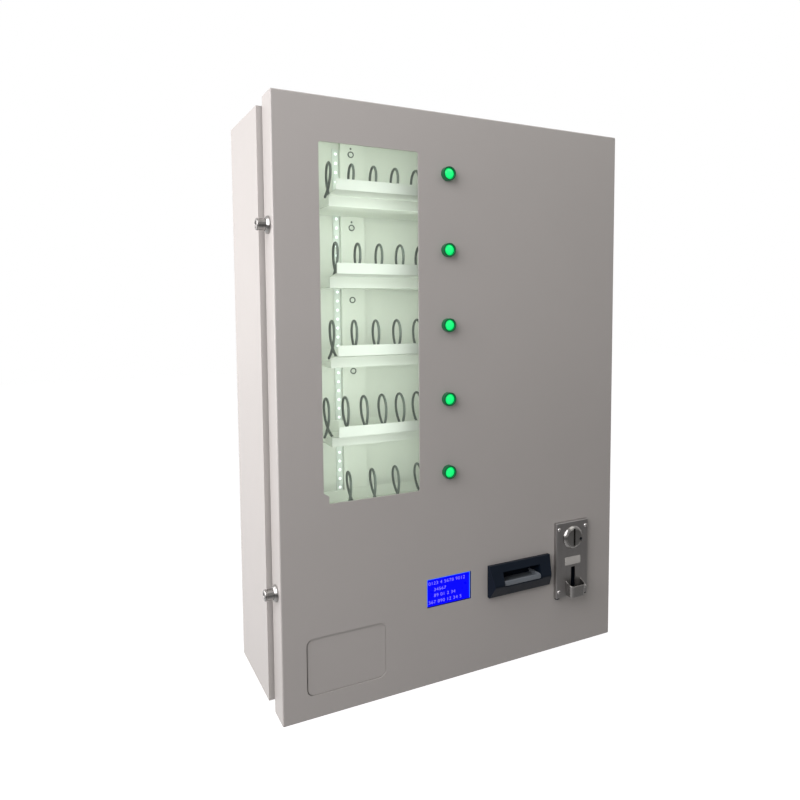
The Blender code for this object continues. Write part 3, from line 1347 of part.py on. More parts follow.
def make_locks(pivot):
    """Push locks: a collar through the door's wall and a plunger that stands out."""
    bore = LOCK_HEAD_R + FIT
    bolt_start = DOOR_SHEET + LOCK_BARREL_L
    collar = (
        (bore, LOCK_COLLAR_T), (LOCK_NECK_R, LOCK_COLLAR_T), (LOCK_COLLAR_R, LOCK_COLLAR_EDGE),
        (LOCK_COLLAR_R, FIT), (LOCK_BARREL_R, FIT), (LOCK_BARREL_R, -bolt_start),
        (LOCK_BOLT_R + FIT, -bolt_start), (LOCK_BOLT_R + FIT, -bolt_start + LOCK_END_T),
        (bore, -bolt_start + LOCK_END_T))
    head_low = -bolt_start + LOCK_END_T + LOCK_TRAVEL + FIT
    out = LOCK_OUT
    plunger = (
        (0, out - LOCK_KEY_DEPTH), (LOCK_KEY_R, out - LOCK_KEY_DEPTH), (LOCK_KEY_R, out),
        (LOCK_HEAD_R, out), (LOCK_RIM_R, out - LOCK_RIM_T / 3),
        (LOCK_RIM_R, out - LOCK_RIM_T * 2 / 3), (LOCK_HEAD_R, out - LOCK_RIM_T),
        (LOCK_HEAD_R, head_low), (LOCK_BOLT_R, head_low),
        (LOCK_BOLT_R, -bolt_start - LOCK_BOLT_L), (0, -bolt_start - LOCK_BOLT_L))
    first = None
    for number, z in enumerate(LOCK_Z):
        spot = (0, LOCK_Y, z)
        names = ("lock_collar_%d" % (number + 1), "lock_plunger_%d" % (number + 1))
        if first is None:
            first = (
                turned(names[0], collar, "chrome", spot, "left", pivot, True),
                turned(names[1], plunger, "chrome", spot, "left", pivot))
        else:
            twin(first[0], names[0], "chrome", spot, pivot)
            twin(first[1], names[1], "chrome", spot, pivot)


def main():
    make_cabinet()
    make_rail_and_strip()
    make_shelves()
    make_partition()
    make_motors()
    make_coils()
    make_bin()
    make_cash_box()
    make_electrics()
    make_strikes()
    make_pivots()
    pivot = guide("door_pivot", (HINGE_X, HINGE_Y, 0))
    make_door(pivot)
    make_window(pivot)
    make_buttons(pivot)
    make_display(pivot)
    make_bill_acceptor(pivot)
    make_coin_acceptor(pivot)
    make_flap(pivot)
    make_locks(pivot)


main()
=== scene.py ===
import json
import math

import bmesh
import bpy
from mathutils import Euler, Matrix, Vector

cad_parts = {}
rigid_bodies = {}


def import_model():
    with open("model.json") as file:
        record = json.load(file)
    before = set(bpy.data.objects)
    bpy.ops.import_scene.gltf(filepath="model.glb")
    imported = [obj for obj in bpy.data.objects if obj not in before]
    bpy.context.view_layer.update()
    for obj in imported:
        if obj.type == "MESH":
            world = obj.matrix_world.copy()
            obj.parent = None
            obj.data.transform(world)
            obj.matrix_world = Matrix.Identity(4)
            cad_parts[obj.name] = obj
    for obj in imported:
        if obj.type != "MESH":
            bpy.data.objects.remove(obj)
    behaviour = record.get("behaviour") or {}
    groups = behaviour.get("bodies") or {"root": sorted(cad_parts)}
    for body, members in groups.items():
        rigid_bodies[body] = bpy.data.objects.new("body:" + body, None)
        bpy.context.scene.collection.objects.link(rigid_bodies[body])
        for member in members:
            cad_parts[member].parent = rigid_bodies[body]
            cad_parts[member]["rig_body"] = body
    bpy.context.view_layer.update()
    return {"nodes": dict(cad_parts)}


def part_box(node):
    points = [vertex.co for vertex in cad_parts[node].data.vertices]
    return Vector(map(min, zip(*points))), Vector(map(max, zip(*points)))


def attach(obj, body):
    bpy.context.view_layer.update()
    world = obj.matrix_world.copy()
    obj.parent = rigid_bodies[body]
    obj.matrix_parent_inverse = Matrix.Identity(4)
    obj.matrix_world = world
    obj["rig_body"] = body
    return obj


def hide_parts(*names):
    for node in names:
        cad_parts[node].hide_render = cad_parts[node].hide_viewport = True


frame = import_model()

NODES = frame["nodes"]
ROWS = (1, 2, 3, 4, 5)
ORIGIN = (275, 200, 412.5)  # the frame's origin, in the door's millimetres
SHELF_PITCH = 114
BUTTON_PITCH = 105.75
LOCK_HEIGHTS = (175, 655)
LOCK_TRAVEL = 7.9
TURN ={"up": (0, 0, 0), "down": (math.pi, 0, 0), "front": (math.pi / 2, 0, 0),
        "back": (-math.pi / 2, 0, 0), "left": (0, -math.pi / 2, 0), "right": (0, math.pi / 2, 0)}


# ---------------------------------------------------------------- modelling
def at(x, y, z):
    """A place in millimetres from the door's lower left front corner: right, in and up."""
    return Vector((x - ORIGIN[0], y - ORIGIN[1], z - ORIGIN[2])) / 1000


def deselect_all():
    """Back to object mode with nothing selected."""
    if bpy.context.mode != "OBJECT":
        bpy.ops.object.mode_set(mode="OBJECT")
    bpy.ops.object.select_all(action="DESELECT")


def make_active(obj):
    """One piece alone selected and active, as the operators want it."""
    deselect_all()
    obj.select_set(True)
    bpy.context.view_layer.objects.active = obj


def edit(obj, mode):
    """Edit mode on one piece, with nothing selected in it."""
    make_active(obj)
    bpy.ops.object.mode_set(mode="EDIT")
    bpy.ops.mesh.select_mode(type=mode)
    bpy.ops.mesh.select_all(action="DESELECT")


def pick(obj, kind, test):
    """Selects the faces, edges or vertices that pass a test, by their place or normal."""
    bm = bmesh.from_edit_mesh(obj.data)
    group = {"faces": bm.faces, "edges": bm.edges, "verts": bm.verts}[kind]
    for item in group:
        item.select = False
    for item in filter(test, group):
        item.select = True
    bm.select_flush_mode()
    bmesh.update_edit_mesh(obj.data)


def apply_modifier(obj, kind, **settings):
    """Adds a modifier with its settings and applies it at once."""
    modifier = obj.modifiers.new(kind.title(), kind)
    for key, value in settings.items():
        setattr(modifier, key, value)
    make_active(obj)
    bpy.ops.object.modifier_apply(modifier=modifier.name)


def subtract(obj, *tools):
    """Cuts the tools' shapes out of a piece and throws the tools away."""
    for tool in tools:
        apply_modifier(obj, "BOOLEAN", object=tool, operation="DIFFERENCE", solver="EXACT")
        bpy.data.objects.remove(tool)
    return obj


def joined(first, *others):
    """Several blanks made one piece."""
    make_active(first)
    for other in others:
        other.select_set(True)
    bpy.ops.object.join()
    return first


def smooth(obj, degrees=35):
    """Soft shading up to an angle, with large flat faces kept flat."""
    make_active(obj)
    bpy.ops.object.shade_smooth_by_angle(angle=math.radians(degrees))
    apply_modifier(obj, "WEIGHTED_NORMAL", keep_sharp=True, weight=80)


def settled(obj, name, body, finish, degrees=35):
    """Names a finished piece, puts its place in its mesh, shades it and hangs it on its body."""
    obj.name = obj.data.name = name
    make_active(obj)
    bpy.ops.object.transform_apply(location=True, rotation=True, scale=True)
    smooth(obj, degrees)
    obj.data.materials.clear()
    obj.data.materials.append(finish)
    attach(obj, body)
    return obj


def placed_copy(pattern, name, body, finish, place, facing="up", degrees=35):
    """A copy with its own mesh of a pattern that stands upright at the origin, in its place."""
    twin = bpy.data.objects.new(name, pattern.data.copy())
    bpy.context.scene.collection.objects.link(twin)
    turn = Euler(TURN[facing]).to_matrix().to_4x4()
    twin.data.transform(Matrix.Translation(at(*place)) @ turn)
    return settled(twin, name, body, finish, degrees)


def set_out(pattern, name, body, finish, places, facing="up"):
    """A pattern set out at each of its places, and then thrown away."""
    for number, place in enumerate(places, 1):
        placed_copy(pattern, "%s_%d" % (name, number), body, finish, place, facing)
    bpy.data.objects.remove(pattern)


def turned(profile, steps, place=None, facing="up"):
    """A lathe-turned piece: radius and height in millimetres, extruded point by point and spun."""
    deselect_all()
    bpy.ops.mesh.primitive_plane_add(size=0.001)
    obj = bpy.context.object
    edit(obj, "VERT")
    pick(obj, "verts", lambda v: v.index != 0)
    bpy.ops.mesh.delete(type="VERT")
    bm = bmesh.from_edit_mesh(obj.data)
    bm.verts.ensure_lookup_table()
    radius, height = profile[0]
    bm.verts[0].co = (radius / 1000, 0, height / 1000)
    bm.verts[0].select = True
    bmesh.update_edit_mesh(obj.data)
    for out, up in profile[1:]:
        step = ((out - radius) / 1000, 0, (up - height) / 1000)
        bpy.ops.mesh.extrude_region_move(TRANSFORM_OT_translate={"value": step})
        radius, height = out, up
    bpy.ops.mesh.select_all(action="SELECT")
    bpy.ops.mesh.spin(steps=steps, angle=math.tau, center=(0, 0, 0), axis=(0, 0, 1))
    bpy.ops.mesh.select_all(action="SELECT")
    bpy.ops.mesh.remove_doubles(threshold=0.000002)
    bpy.ops.mesh.normals_make_consistent(inside=False)
    bpy.ops.object.mode_set(mode="OBJECT")
    if place:
        obj.rotation_euler = TURN[facing]
        obj.location = at(*place)
        make_active(obj)
        bpy.ops.object.transform_apply(location=True, rotation=True, scale=True)
    return obj


def block(size, centre):
    """A rectangular blank in millimetres about a centre near the origin."""
    deselect_all()
    bpy.ops.mesh.primitive_cube_add(size=0.001, location=Vector(centre) / 1000, scale=size)
    obj = bpy.context.object
    bpy.ops.object.transform_apply(location=True, rotation=True, scale=True)
    return obj


def bar(low, high):
    """A rectangular blank between two corners, in its place on the machine."""
    deselect_all()
    low, high = at(*low), at(*high)
    bpy.ops.mesh.primitive_cube_add(size=1, location=(low + high) / 2, scale=high - low)
    obj = bpy.context.object
    bpy.ops.object.transform_apply(location=True, rotation=True, scale=True)
    return obj


def rounded(obj, radius, axis, steps=6):
    """Rounds the edges of a blank that run along one axis."""
    edit(obj, "EDGE")
    pick(obj, "edges", lambda e: abs((e.verts[0].co - e.verts[1].co).normalized()[axis]) > 0.99)
    bpy.ops.mesh.bevel(offset=radius / 1000, segments=steps, affect="EDGES")
    bpy.ops.object.mode_set(mode="OBJECT")
    return obj


def soft_edges(obj, width, steps=2, degrees=40):
    """A small bevel along every sharp edge."""
    apply_modifier(obj, "BEVEL", width=width / 1000, segments=steps, limit_method="ANGLE",
                   angle_limit=math.radians(degrees), miter_outer="MITER_ARC",
                   use_clamp_overlap=True)
    return obj


def refined(node, finish, edge, degrees=35):
    """A merged copy of a node's own shape with soft edges, which stands for the node."""
    source = NODES[node]
    obj = bpy.data.objects.new(node + "_skin", source.data.copy())
    bpy.context.scene.collection.objects.link(obj)
    edit(obj, "VERT")
    bpy.ops.mesh.select_all(action="SELECT")
    bpy.ops.mesh.remove_doubles(threshold=0.000005)
    bpy.ops.mesh.select_mode(type="FACE")
    bpy.ops.mesh.select_all(action="SELECT")
    bpy.ops.mesh.dissolve_limited(angle_limit=math.radians(0.6), use_dissolve_boundaries=False)
    bpy.ops.object.mode_set(mode="OBJECT")
    soft_edges(obj, edge)
    smooth(obj, degrees)
    obj.data.materials.clear()
    obj.data.materials.append(finish)
    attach(obj, source["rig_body"])
    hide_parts(node)
    return obj


def paint_inside(obj, node, finish):
    """A second finish on the faces that lie inside a sheet box, past its outer skin."""
    skin = 0.0008
    low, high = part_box(node)
    obj.data.materials.append(finish)
    for face in obj.data.polygons:
        if all(low[k] + skin < face.center[k] < high[k] - skin for k in range(3)):
            face.material_index = 1


def dressed(node, finish):
    """A node that keeps its own shape and gets its finish."""
    obj = NODES[node]
    obj.data.materials.clear()
    obj.data.materials.append(finish)


def cross_screw(radius, stand):
    """A domed screw head with a cross recess."""
    head = turned(((0, stand), (radius * 0.5, stand * 0.92), (radius * 0.82, stand * 0.62),
                   (radius, stand * 0.1), (radius, -0.3), (0, -0.3)), steps=28)
    long, narrow, deep = radius * 1.1, radius * 0.26, stand * 1.1
    return subtract(head, block((long, narrow, deep), (0, 0, stand)),
                    block((narrow, long, deep), (0, 0, stand)))


def hex_nut(across, tall, bore):
    """A hexagon nut with rounded corners, its foot on the origin."""
    deselect_all()
    bpy.ops.mesh.primitive_cylinder_add(vertices=6, radius=across / 1000, depth=tall / 1000,
                                        location=(0, 0, tall / 2000))
    nut = bpy.context.object
    bpy.ops.object.transform_apply(location=True, rotation=True, scale=True)
    soft_edges(nut, tall * 0.1, 2, 50)
    hole = turned(((0, -1), (bore, -1), (bore, tall + 1), (0, tall + 1)), steps=24)
    return subtract(nut, hole)


def tab_pair(size, reach):
    """Two solder tabs side by side, each that far from the middle."""
    blades = [block(size, (side, 0, 3.0)) for side in (-reach, reach)]
    return soft_edges(joined(*blades), 0.15, 1)


# ---------------------------------------------------------------- shader groups
def new_group(name, inputs, outputs):
    """An empty shader group with its sockets, and its two end nodes."""
    group =bpy.data.node_groups.new(name, "ShaderNodeTree")
    for label, kind, value in inputs:
        socket = group.interface.new_socket(label, in_out="INPUT", socket_type=kind)
        socket.default_value = value
    for label, kind in outputs:
        group.interface.new_socket(label, in_out="OUTPUT", socket_type=kind)
    return group, group.nodes.new("NodeGroupInput"), group.nodes.new("NodeGroupOutput")


def feed(tree, node, links):
    """Fills a node's sockets with plain values or with what runs into them."""
    for key, value in links.items():
        socket = node.inputs[key]
        if isinstance(value, bpy.types.NodeSocket):
            tree.links.new(value, socket)
        else:
            socket.default_value = value


def add(tree, kind, links=None, **settings):
    """One node, with its settings and what runs into it."""
    node = tree.nodes.new("ShaderNode" + kind)
    for key, value in settings.items():
        setattr(node, key, value)
    feed(tree, node, links or {})
    return node


def use(tree, group, links):
    """A shader group placed in a material, with its own values."""
    node = tree.nodes.new("ShaderNodeGroup")
    node.node_tree = group
    feed(tree, node, links)
    return node.outputs


def calc(tree, operation, first, second, clamp=False):
    """One step of arithmetic."""
    node = add(tree, "Math", {0: first, 1: second}, operation=operation, use_clamp=clamp)
    return node.outputs[0]


def ramp(tree, value, low, high, to_low=0.0, to_high=1.0):
    """A value carried from one range to another and held at its ends."""
    return add(tree, "MapRange", {0: value, 1: low, 2: high, 3: to_low, 4: to_high}).outputs[0]


def blend(tree, factor, first, second):
    """Two colours mixed by a factor."""
    return add(tree, "Mix", {0: factor, 6: first, 7: second}, data_type="RGBA").outputs[2]


def shade(colour, share):
    """A colour made darker or paler by a share."""
    return tuple(min(c * share, 1) for c in colour) + (1,)


FLOAT, VECTOR = "NodeSocketFloat", "NodeSocketVector"


def make_spray_texture():
    """Sprayed and baked enamel: fine ripple, slow mottle and tiny specks."""
    tree, given, out = new_group(
        "spray_texture",
        (("Place", VECTOR, (0, 0, 0)), ("Ripple Scale", FLOAT, 420), ("Mottle Scale", FLOAT, 9)),
        (("Height", FLOAT), ("Mottle", FLOAT), ("Specks", FLOAT)))
    ripple = add(tree, "TexNoise", {"Vector": given.outputs[0], "Scale": given.outputs[1],
                                    "Detail": 2.0, "Roughness": 0.45})
    mottle = add(tree, "TexNoise", {"Vector": given.outputs[0], "Scale": given.outputs[2],
                                    "Detail": 4.0, "Roughness": 0.6})
    specks = add(tree, "TexVoronoi", {"Vector": given.outputs[0], "Scale": 160.0})
    tree.links.new(ripple.outputs[0], out.inputs[0])
    tree.links.new(ramp(tree, mottle.outputs[0], 0.3, 0.7), out.inputs[1])
    tree.links.new(ramp(tree, specks.outputs["Distance"], 0.045, 0.02), out.inputs[2])
    return tree


def make_edge_highlight():
    """Painted highlight: paler paint along the edges of a box between two corners, broken by noise."""
    tree, given, out = new_group(
        "painted_edge_highlight",
        (("Place", VECTOR, (0, 0, 0)), ("Low Corner", VECTOR, (0, 0, 0)),
         ("High Corner", VECTOR, (1, 1, 1)), ("Width", FLOAT, 0.003), ("Amount", FLOAT, 0.5)),
        (("Mask", FLOAT),))
    place, low_corner, high_corner = given.outputs[:3]
    from_low = add(tree, "VectorMath", {0: place, 1: low_corner}, operation="SUBTRACT")
    to_high = add(tree, "VectorMath", {0: high_corner, 1: place}, operation="SUBTRACT")
    near = add(tree, "VectorMath", {0: from_low.outputs[0], 1: to_high.outputs[0]},
               operation="MINIMUM")
    x, y, z = add(tree, "SeparateXYZ", {0: near.outputs[0]}).outputs
    low = calc(tree, "MINIMUM", x, y)
    high = calc(tree, "MAXIMUM", x, y)
    second = calc(tree, "MAXIMUM", low, calc(tree, "MINIMUM", high, z))
    band = calc(tree, "SUBTRACT", 1.0, calc(tree, "DIVIDE", second, given.outputs[3]), clamp=True)
    noise = add(tree, "TexNoise", {"Vector": place, "Scale": 55.0, "Detail": 6.0,
                                   "Roughness": 0.7})
    broken = calc(tree, "MULTIPLY", band, ramp(tree, noise.outputs[0], 0.42, 0.66))
    mask = calc(tree, "MULTIPLY", broken, given.outputs[4], clamp=True)
    tree.links.new(mask, out.inputs[0])
    return tree


def make_settled_dust():
    """Dust on faces that look up, thicker in patches."""
    tree, given, out = new_group(
        "settled_dust",
        (("Place", VECTOR, (0, 0, 0)), ("Normal", VECTOR, (0, 0, 1)), ("Amount", FLOAT, 0.3)),
        (("Mask", FLOAT),))
    facing = add(tree, "SeparateXYZ", {0: given.outputs[1]}).outputs[2]
    noise = add(tree, "TexNoise", {"Vector": given.outputs[0], "Scale": 38.0, "Detail": 7.0,
                                   "Roughness": 0.65})
    patch = ramp(tree, noise.outputs[0], 0.35, 0.75)
    up = ramp(tree, facing, 0.35, 0.95)
    mask = calc(tree, "MULTIPLY", calc(tree, "MULTIPLY", up, patch), given.outputs[2], clamp=True)
    tree.links.new(mask, out.inputs[0])
    return tree


def make_brushing():
    """Fine scratches along one direction: Stretch is small along the grain."""
    tree, given, out = new_group(
        "brushing",
        (("Place", VECTOR, (0, 0, 0)), ("Stretch", VECTOR, (1, 1, 1)), ("Scale", FLOAT, 900)),
        (("Height", FLOAT), ("Streaks", FLOAT)))
    drawn = add(tree, "VectorMath", {0: given.outputs[0], 1: given.outputs[1]}, operation="MULTIPLY")
    fine = add(tree, "TexNoise", {"Vector": drawn.outputs[0], "Scale": given.outputs[2],
                                  "Detail": 3.0, "Roughness": 0.6})
    broad = add(tree, "TexNoise", {"Vector": drawn.outputs[0],
                                   "Scale": calc(tree, "MULTIPLY", given.outputs[2], 0.22),
                                   "Detail": 5.0, "Roughness": 0.7})
    tree.links.new(fine.outputs[0], out.inputs[0])
    tree.links.new(broad.outputs[0], out.inputs[1])
    return tree


def make_handling():
    """Smudges and fine hairline scratches from years of hands."""
    tree, given, out = new_group(
        "handling",
        (("Place", VECTOR, (0, 0, 0)), ("Smudge Scale", FLOAT, 22), ("Scratch Scale", FLOAT, 60)),
        (("Smudges", FLOAT), ("Scratches", FLOAT)))
    smudge = add(tree, "TexNoise", {"Vector": given.outputs[0], "Scale": given.outputs[1],
                                    "Detail": 6.0, "Roughness": 0.55, "Distortion": 0.6})
    wave = add(tree, "TexWave", {"Vector": given.outputs[0], "Scale": given.outputs[2],
                                 "Distortion": 14.0, "Detail": 2.0, "Detail Scale": 0.6})
    thin = ramp(tree, wave.outputs["Fac"], 0.985, 1.0)
    rare = ramp(tree, smudge.outputs[0], 0.55, 0.7)
    tree.links.new(ramp(tree, smudge.outputs[0], 0.35, 0.7), out.inputs[0])
    tree.links.new(calc(tree, "MULTIPLY", thin, rare), out.inputs[1])
    return tree


SPRAY = make_spray_texture()
EDGE_HIGHLIGHT = make_edge_highlight()
DUST = make_settled_dust()
BRUSH = make_brushing()
HANDS = make_handling()


# ---------------------------------------------------------------- finishes
def new_finish(name, colour, roughness, metallic=0.0):
    """A material with its shader, its object place and its surface direction."""
    material = bpy.data.materials.new(name)
    material.use_nodes = True
    material.diffuse_color = (*colour, 1)
    tree = material.node_tree
    shader = tree.nodes["Principled BSDF"]
    shader.inputs["Base Color"].default_value = (*colour, 1)
    shader.inputs["Roughness"].default_value = roughness
    shader.inputs["Metallic"].default_value = metallic
    place = add(tree, "TexCoord").outputs["Object"]
    normal = add(tree, "NewGeometry").outputs["Normal"]
    return material, tree, shader, place, normal


def bump(tree, shader, height, strength, distance):
    """Fine relief from a height, without any new shape."""
    node = add(tree, "Bump", {"Height": height, "Strength": strength, "Distance": distance})
    tree.links.new(node.outputs[0], shader.inputs["Normal"])


PAINT_DUST = (0.48, 0.46, 0.43, 1)
PLASTIC_DUST = (0.30, 0.29, 0.28, 1)


def enamel(name, colour, roughness, corners, highlight_amount=0.25, dust=0.10, coat=0.15, highlight_width=0.0025):
    """Sprayed, baked paint on sheet metal, clean, with a painted highlight along its edges and a little
    dust.
    """
    material, tree, shader, place, normal = new_finish(name, colour, roughness)
    spray = use(tree, SPRAY, {"Place": place, "Ripple Scale": 420.0, "Mottle Scale": 5.0})
    hands = use(tree, HANDS, {"Place": place, "Smudge Scale": 9.0, "Scratch Scale": 30.0})
    edge = use(tree, EDGE_HIGHLIGHT, {"Place": place, "Low Corner": corners[0], "High Corner": corners[1],
                           "Width": highlight_width, "Amount": highlight_amount})
    fall = use(tree, DUST, {"Place": place, "Normal": normal, "Amount": dust})
    body = blend(tree, spray["Mottle"], shade(colour, 0.985), shade(colour, 1.015))
    # painted highlight: the paint is made paler along the box's edges, where light catches them
    body = blend(tree, edge["Mask"], body, shade(colour, 1.35))
    body = blend(tree, fall["Mask"], body, PAINT_DUST)
    body = blend(tree, calc(tree, "MULTIPLY", spray["Specks"], 0.06), body, shade(colour, 0.6))
    tree.links.new(body, shader.inputs["Base Color"])
    rough = calc(tree, "ADD", ramp(tree, hands["Smudges"], 0, 1, roughness - 0.02, roughness + 0.03),
                 calc(tree, "MULTIPLY", fall["Mask"], 0.3), clamp=True)
    tree.links.new(rough, shader.inputs["Roughness"])
    height = calc(tree, "SUBTRACT", spray["Height"], calc(tree, "MULTIPLY", hands["Scratches"], 0.3))
    bump(tree, shader, height, 0.02, 0.0005)
    shader.inputs["Coat Weight"].default_value = coat
    shader.inputs["Coat Roughness"].default_value = 0.25
    shader.inputs["Coat IOR"].default_value = 1.45
    return material


def metal(name, colour, roughness, stretch, scale=900.0, strength=0.12, tarnish=0.12):
    """Bare, plated or brushed metal with streaks along its grain."""
    material, tree, shader, place, _ = new_finish(name, colour, roughness, 1.0)
    brush = use(tree, BRUSH, {"Place": place, "Stretch": stretch, "Scale": scale})
    hands = use(tree, HANDS, {"Place": place, "Smudge Scale": 60.0, "Scratch Scale": 90.0})
    body = blend(tree, brush["Streaks"], shade(colour, 1 - tarnish), shade(colour, 1 + tarnish))
    body = blend(tree, calc(tree, "MULTIPLY", hands["Smudges"], 0.25), body, shade(colour, 0.82))
    tree.links.new(body, shader.inputs["Base Color"])
    rough = calc(tree, "ADD", ramp(tree, brush["Streaks"], 0.3, 0.7, roughness * 0.8, roughness * 1.2),
                 calc(tree, "MULTIPLY", hands["Smudges"], 0.05), clamp=True)
    tree.links.new(rough, shader.inputs["Roughness"])
    height = calc(tree, "SUBTRACT", brush["Height"], hands["Scratches"])
    bump(tree, shader, height, strength, 0.0003)
    return material


def moulded(name, colour, roughness, grain=1400.0, strength=0.12, dust=0.08, coat=0.0, glow=None,
            power=0.0, gloss=0.5):
    """Injection-moulded plastic with a fine tool grain and hand wear."""
    material, tree, shader, place, normal = new_finish(name, colour, roughness)
    spray = use(tree, SPRAY, {"Place": place, "Ripple Scale": grain, "Mottle Scale": 40.0})
    hands = use(tree, HANDS, {"Place": place, "Smudge Scale": 70.0, "Scratch Scale": 120.0})
    fall = use(tree, DUST, {"Place": place, "Normal": normal, "Amount": dust})
    body = blend(tree, spray["Mottle"], shade(colour, 0.9), shade(colour, 1.1))
    body = blend(tree, fall["Mask"], body, PLASTIC_DUST)
    tree.links.new(body, shader.inputs["Base Color"])
    rough = calc(tree, "ADD", ramp(tree, hands["Smudges"], 0, 1, roughness - 0.05, roughness + 0.07),
                 calc(tree, "MULTIPLY", fall["Mask"], 0.3), clamp=True)
    tree.links.new(rough, shader.inputs["Roughness"])
    height = calc(tree, "SUBTRACT", spray["Height"], calc(tree, "MULTIPLY", hands["Scratches"], 0.7))
    bump(tree, shader, height, strength, 0.0003)
    shader.inputs["Specular IOR Level"].default_value = gloss
    shader.inputs["Coat Weight"].default_value = coat
    shader.inputs["Coat Roughness"].default_value = 0.08
    if glow:
        lit = blend(tree, spray["Mottle"], shade(glow, 0.92), (*glow, 1))
        tree.links.new(lit, shader.inputs["Emission Color"])
        shader.inputs["Emission Strength"].default_value = power
    return material


def clear_glass(name, colour):
    """A thin clear sheet with faint wipe marks."""
    material, tree, shader, place, _ = new_finish(name, colour, 0.0)
    hands = use(tree, HANDS, {"Place": place, "Smudge Scale": 16.0, "Scratch Scale": 40.0})
    height = calc(tree, "MULTIPLY", hands["Scratches"], 0.5)
    bump(tree, shader, height, 0.02, 0.0001)
    body = blend(tree, hands["Smudges"], (*colour, 1), shade(colour, 0.985))
    tree.links.new(body, shader.inputs["Base Color"])
    shader.inputs["Transmission Weight"].default_value = 1.0
    shader.inputs["IOR"].default_value = 1.45
    return material


def grown_box(node, grow=0.0):
    """The low and high corner of a node, moved out by grow."""
    low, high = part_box(node)
    return tuple(c - grow for c in low), tuple(c + grow for c in high)


# Cream-white enamel set darker, to about half its tone: painted shade, so that the front reads taupe
# grey as in shade.
SHADE_DARKENED_PAINT = (0.50, 0.48, 0.46)
DOOR_PAINT = enamel("door_enamel", SHADE_DARKENED_PAINT, 0.36, grown_box("door_shell"))
CABINET_PAINT = enamel("cabinet_enamel", SHADE_DARKENED_PAINT, 0.38, grown_box("cabinet_shell"))
FLAP_PAINT = enamel("flap_enamel", SHADE_DARKENED_PAINT, 0.38, grown_box("pickup_flap"), highlight_width=0.0010)
INNER_PAINT = enamel("inner_enamel", (0.71, 0.735, 0.665), 0.45, grown_box("cabinet_shell", 0.1),
                     highlight_amount=0.0, dust=0.05, coat=0.05)
BRUSHED_STEEL = metal("brushed_steel", (0.48, 0.47, 0.465), 0.32, (1, 1, 0.03), 900.0, 0.08)
PLAIN_STEEL = metal("plain_steel", (0.46, 0.45, 0.44), 0.36, (0.05, 1, 1), 700.0)
ZINC = metal("zinc_plate", (0.55, 0.55, 0.54), 0.38, (1, 1, 1), 160.0, 0.08, 0.2)
CHROME = metal("polished_chrome", (0.62, 0.61, 0.60), 0.13, (1, 1, 1), 300.0, 0.02, 0.05)
SATIN_CHROME = metal("satin_chrome", (0.40, 0.395, 0.385), 0.20, (1, 1, 1), 300.0, 0.03, 0.06)
COPPER = metal("tinned_copper", (0.62, 0.55, 0.45), 0.35, (1, 1, 1), 400.0, 0.05)
WIRE_PAINT = moulded("wire_enamel", (0.095, 0.115, 0.098), 0.55, 900.0, 0.15, 0.04, gloss=0.35)
RING_GREEN = moulded("dark_green_ring", (0.004, 0.085, 0.032), 0.34, glow=(0.0, 0.17, 0.06),
                     power=0.22, gloss=0.35)
CAP_GREEN = moulded("lit_green_cap", (0.01, 0.70, 0.20), 0.26, coat=0.3, glow=(0.0, 0.82, 0.15),
                    power=0.85)
SCREEN_BLUE = moulded("lit_blue_screen", (0.0, 0.0, 0.30), 0.30, strength=0.02, glow=(0.0, 0.0, 1.0),
                      power=0.95, gloss=0.2)
RIM_BLUE = moulded("lit_screen_rim", (0.02, 0.10, 0.50), 0.3, glow=(0.03, 0.16, 1.0), power=0.9)
MARK_LILAC = moulded("lit_marks", (0.25, 0.2, 0.8), 0.4, glow=(0.28, 0.24, 1.0), power=0.75)
BLACK_PLASTIC = moulded("black_plastic", (0.0055, 0.0105, 0.020), 0.34, dust=0.02, gloss=0.17)
GREY_PLASTIC = moulded("grey_plastic", (0.20, 0.225, 0.25), 0.42)
# A white label set to mid grey: painted shade, to match the shaded front.
SHADE_GREYED_LABEL = moulded("bare_label", (0.56, 0.55, 0.52), 0.5, 600.0)
LAMP_WHITE = moulded("lamp_carrier", (0.72, 0.77, 0.72), 0.5)
LAMP_GLOW = moulded("lamp_glow", (0.9, 0.95, 0.95), 0.4, glow=(0.93, 1.0, 1.0), power=1.3)
BOARD_GREEN = moulded("board_green", (0.02, 0.16, 0.08), 0.38)


# ---------------------------------------------------------------- cabinet and what is in it
WIRE_R = 0.0019
# Each coil's start past its shelf's left end, and its pitch: metres, as read from the photo.
COIL_LEAD = (0.0115, 0.0205, 0.0136, 0.0035, 0.0364)
COIL_PITCH = (0.0344, 0.0340, 0.0344, 0.0294, 0.0383)


def coil_centre(row):
    """The height of a coil's axis above the door's lower edge, in millimetres."""
    return 726.2 - SHELF_PITCH * (row - 1)


def make_cabinet():
    """Shell, rail, partition, bin and shelves, and the screwed strikes and hinge brackets."""
    paint_inside(refined("cabinet_shell", CABINET_PAINT, 0.5, 30), "cabinet_shell", INNER_PAINT)
    for node in ("rear_rail", "motor_partition", "delivery_bin"):
        refined(node, INNER_PAINT, 0.3)
    for row in ROWS:
        refined("shelf_%d" % row, INNER_PAINT, 0.35, 25)
    for end in (1, 2):
        refined("lock_strike_%d" % end, PLAIN_STEEL, 0.35)
        refined("hinge_bracket_%d" % end, PLAIN_STEEL, 0.35)
    foot = [(14.5, 41.7, z + rise) for z in LOCK_HEIGHTS for rise in (-10, 10)]
    set_out(cross_screw(2.6, 1.5), "strike_screw", "cabinet", ZINC, foot, "front")
    foot = [(531, 47.5, z + rise) for z in (48.5, 768.5) for rise in (-12, 12)]
    set_out(cross_screw(2.6, 1.5), "hinge_screw", "cabinet", ZINC, foot, "back")


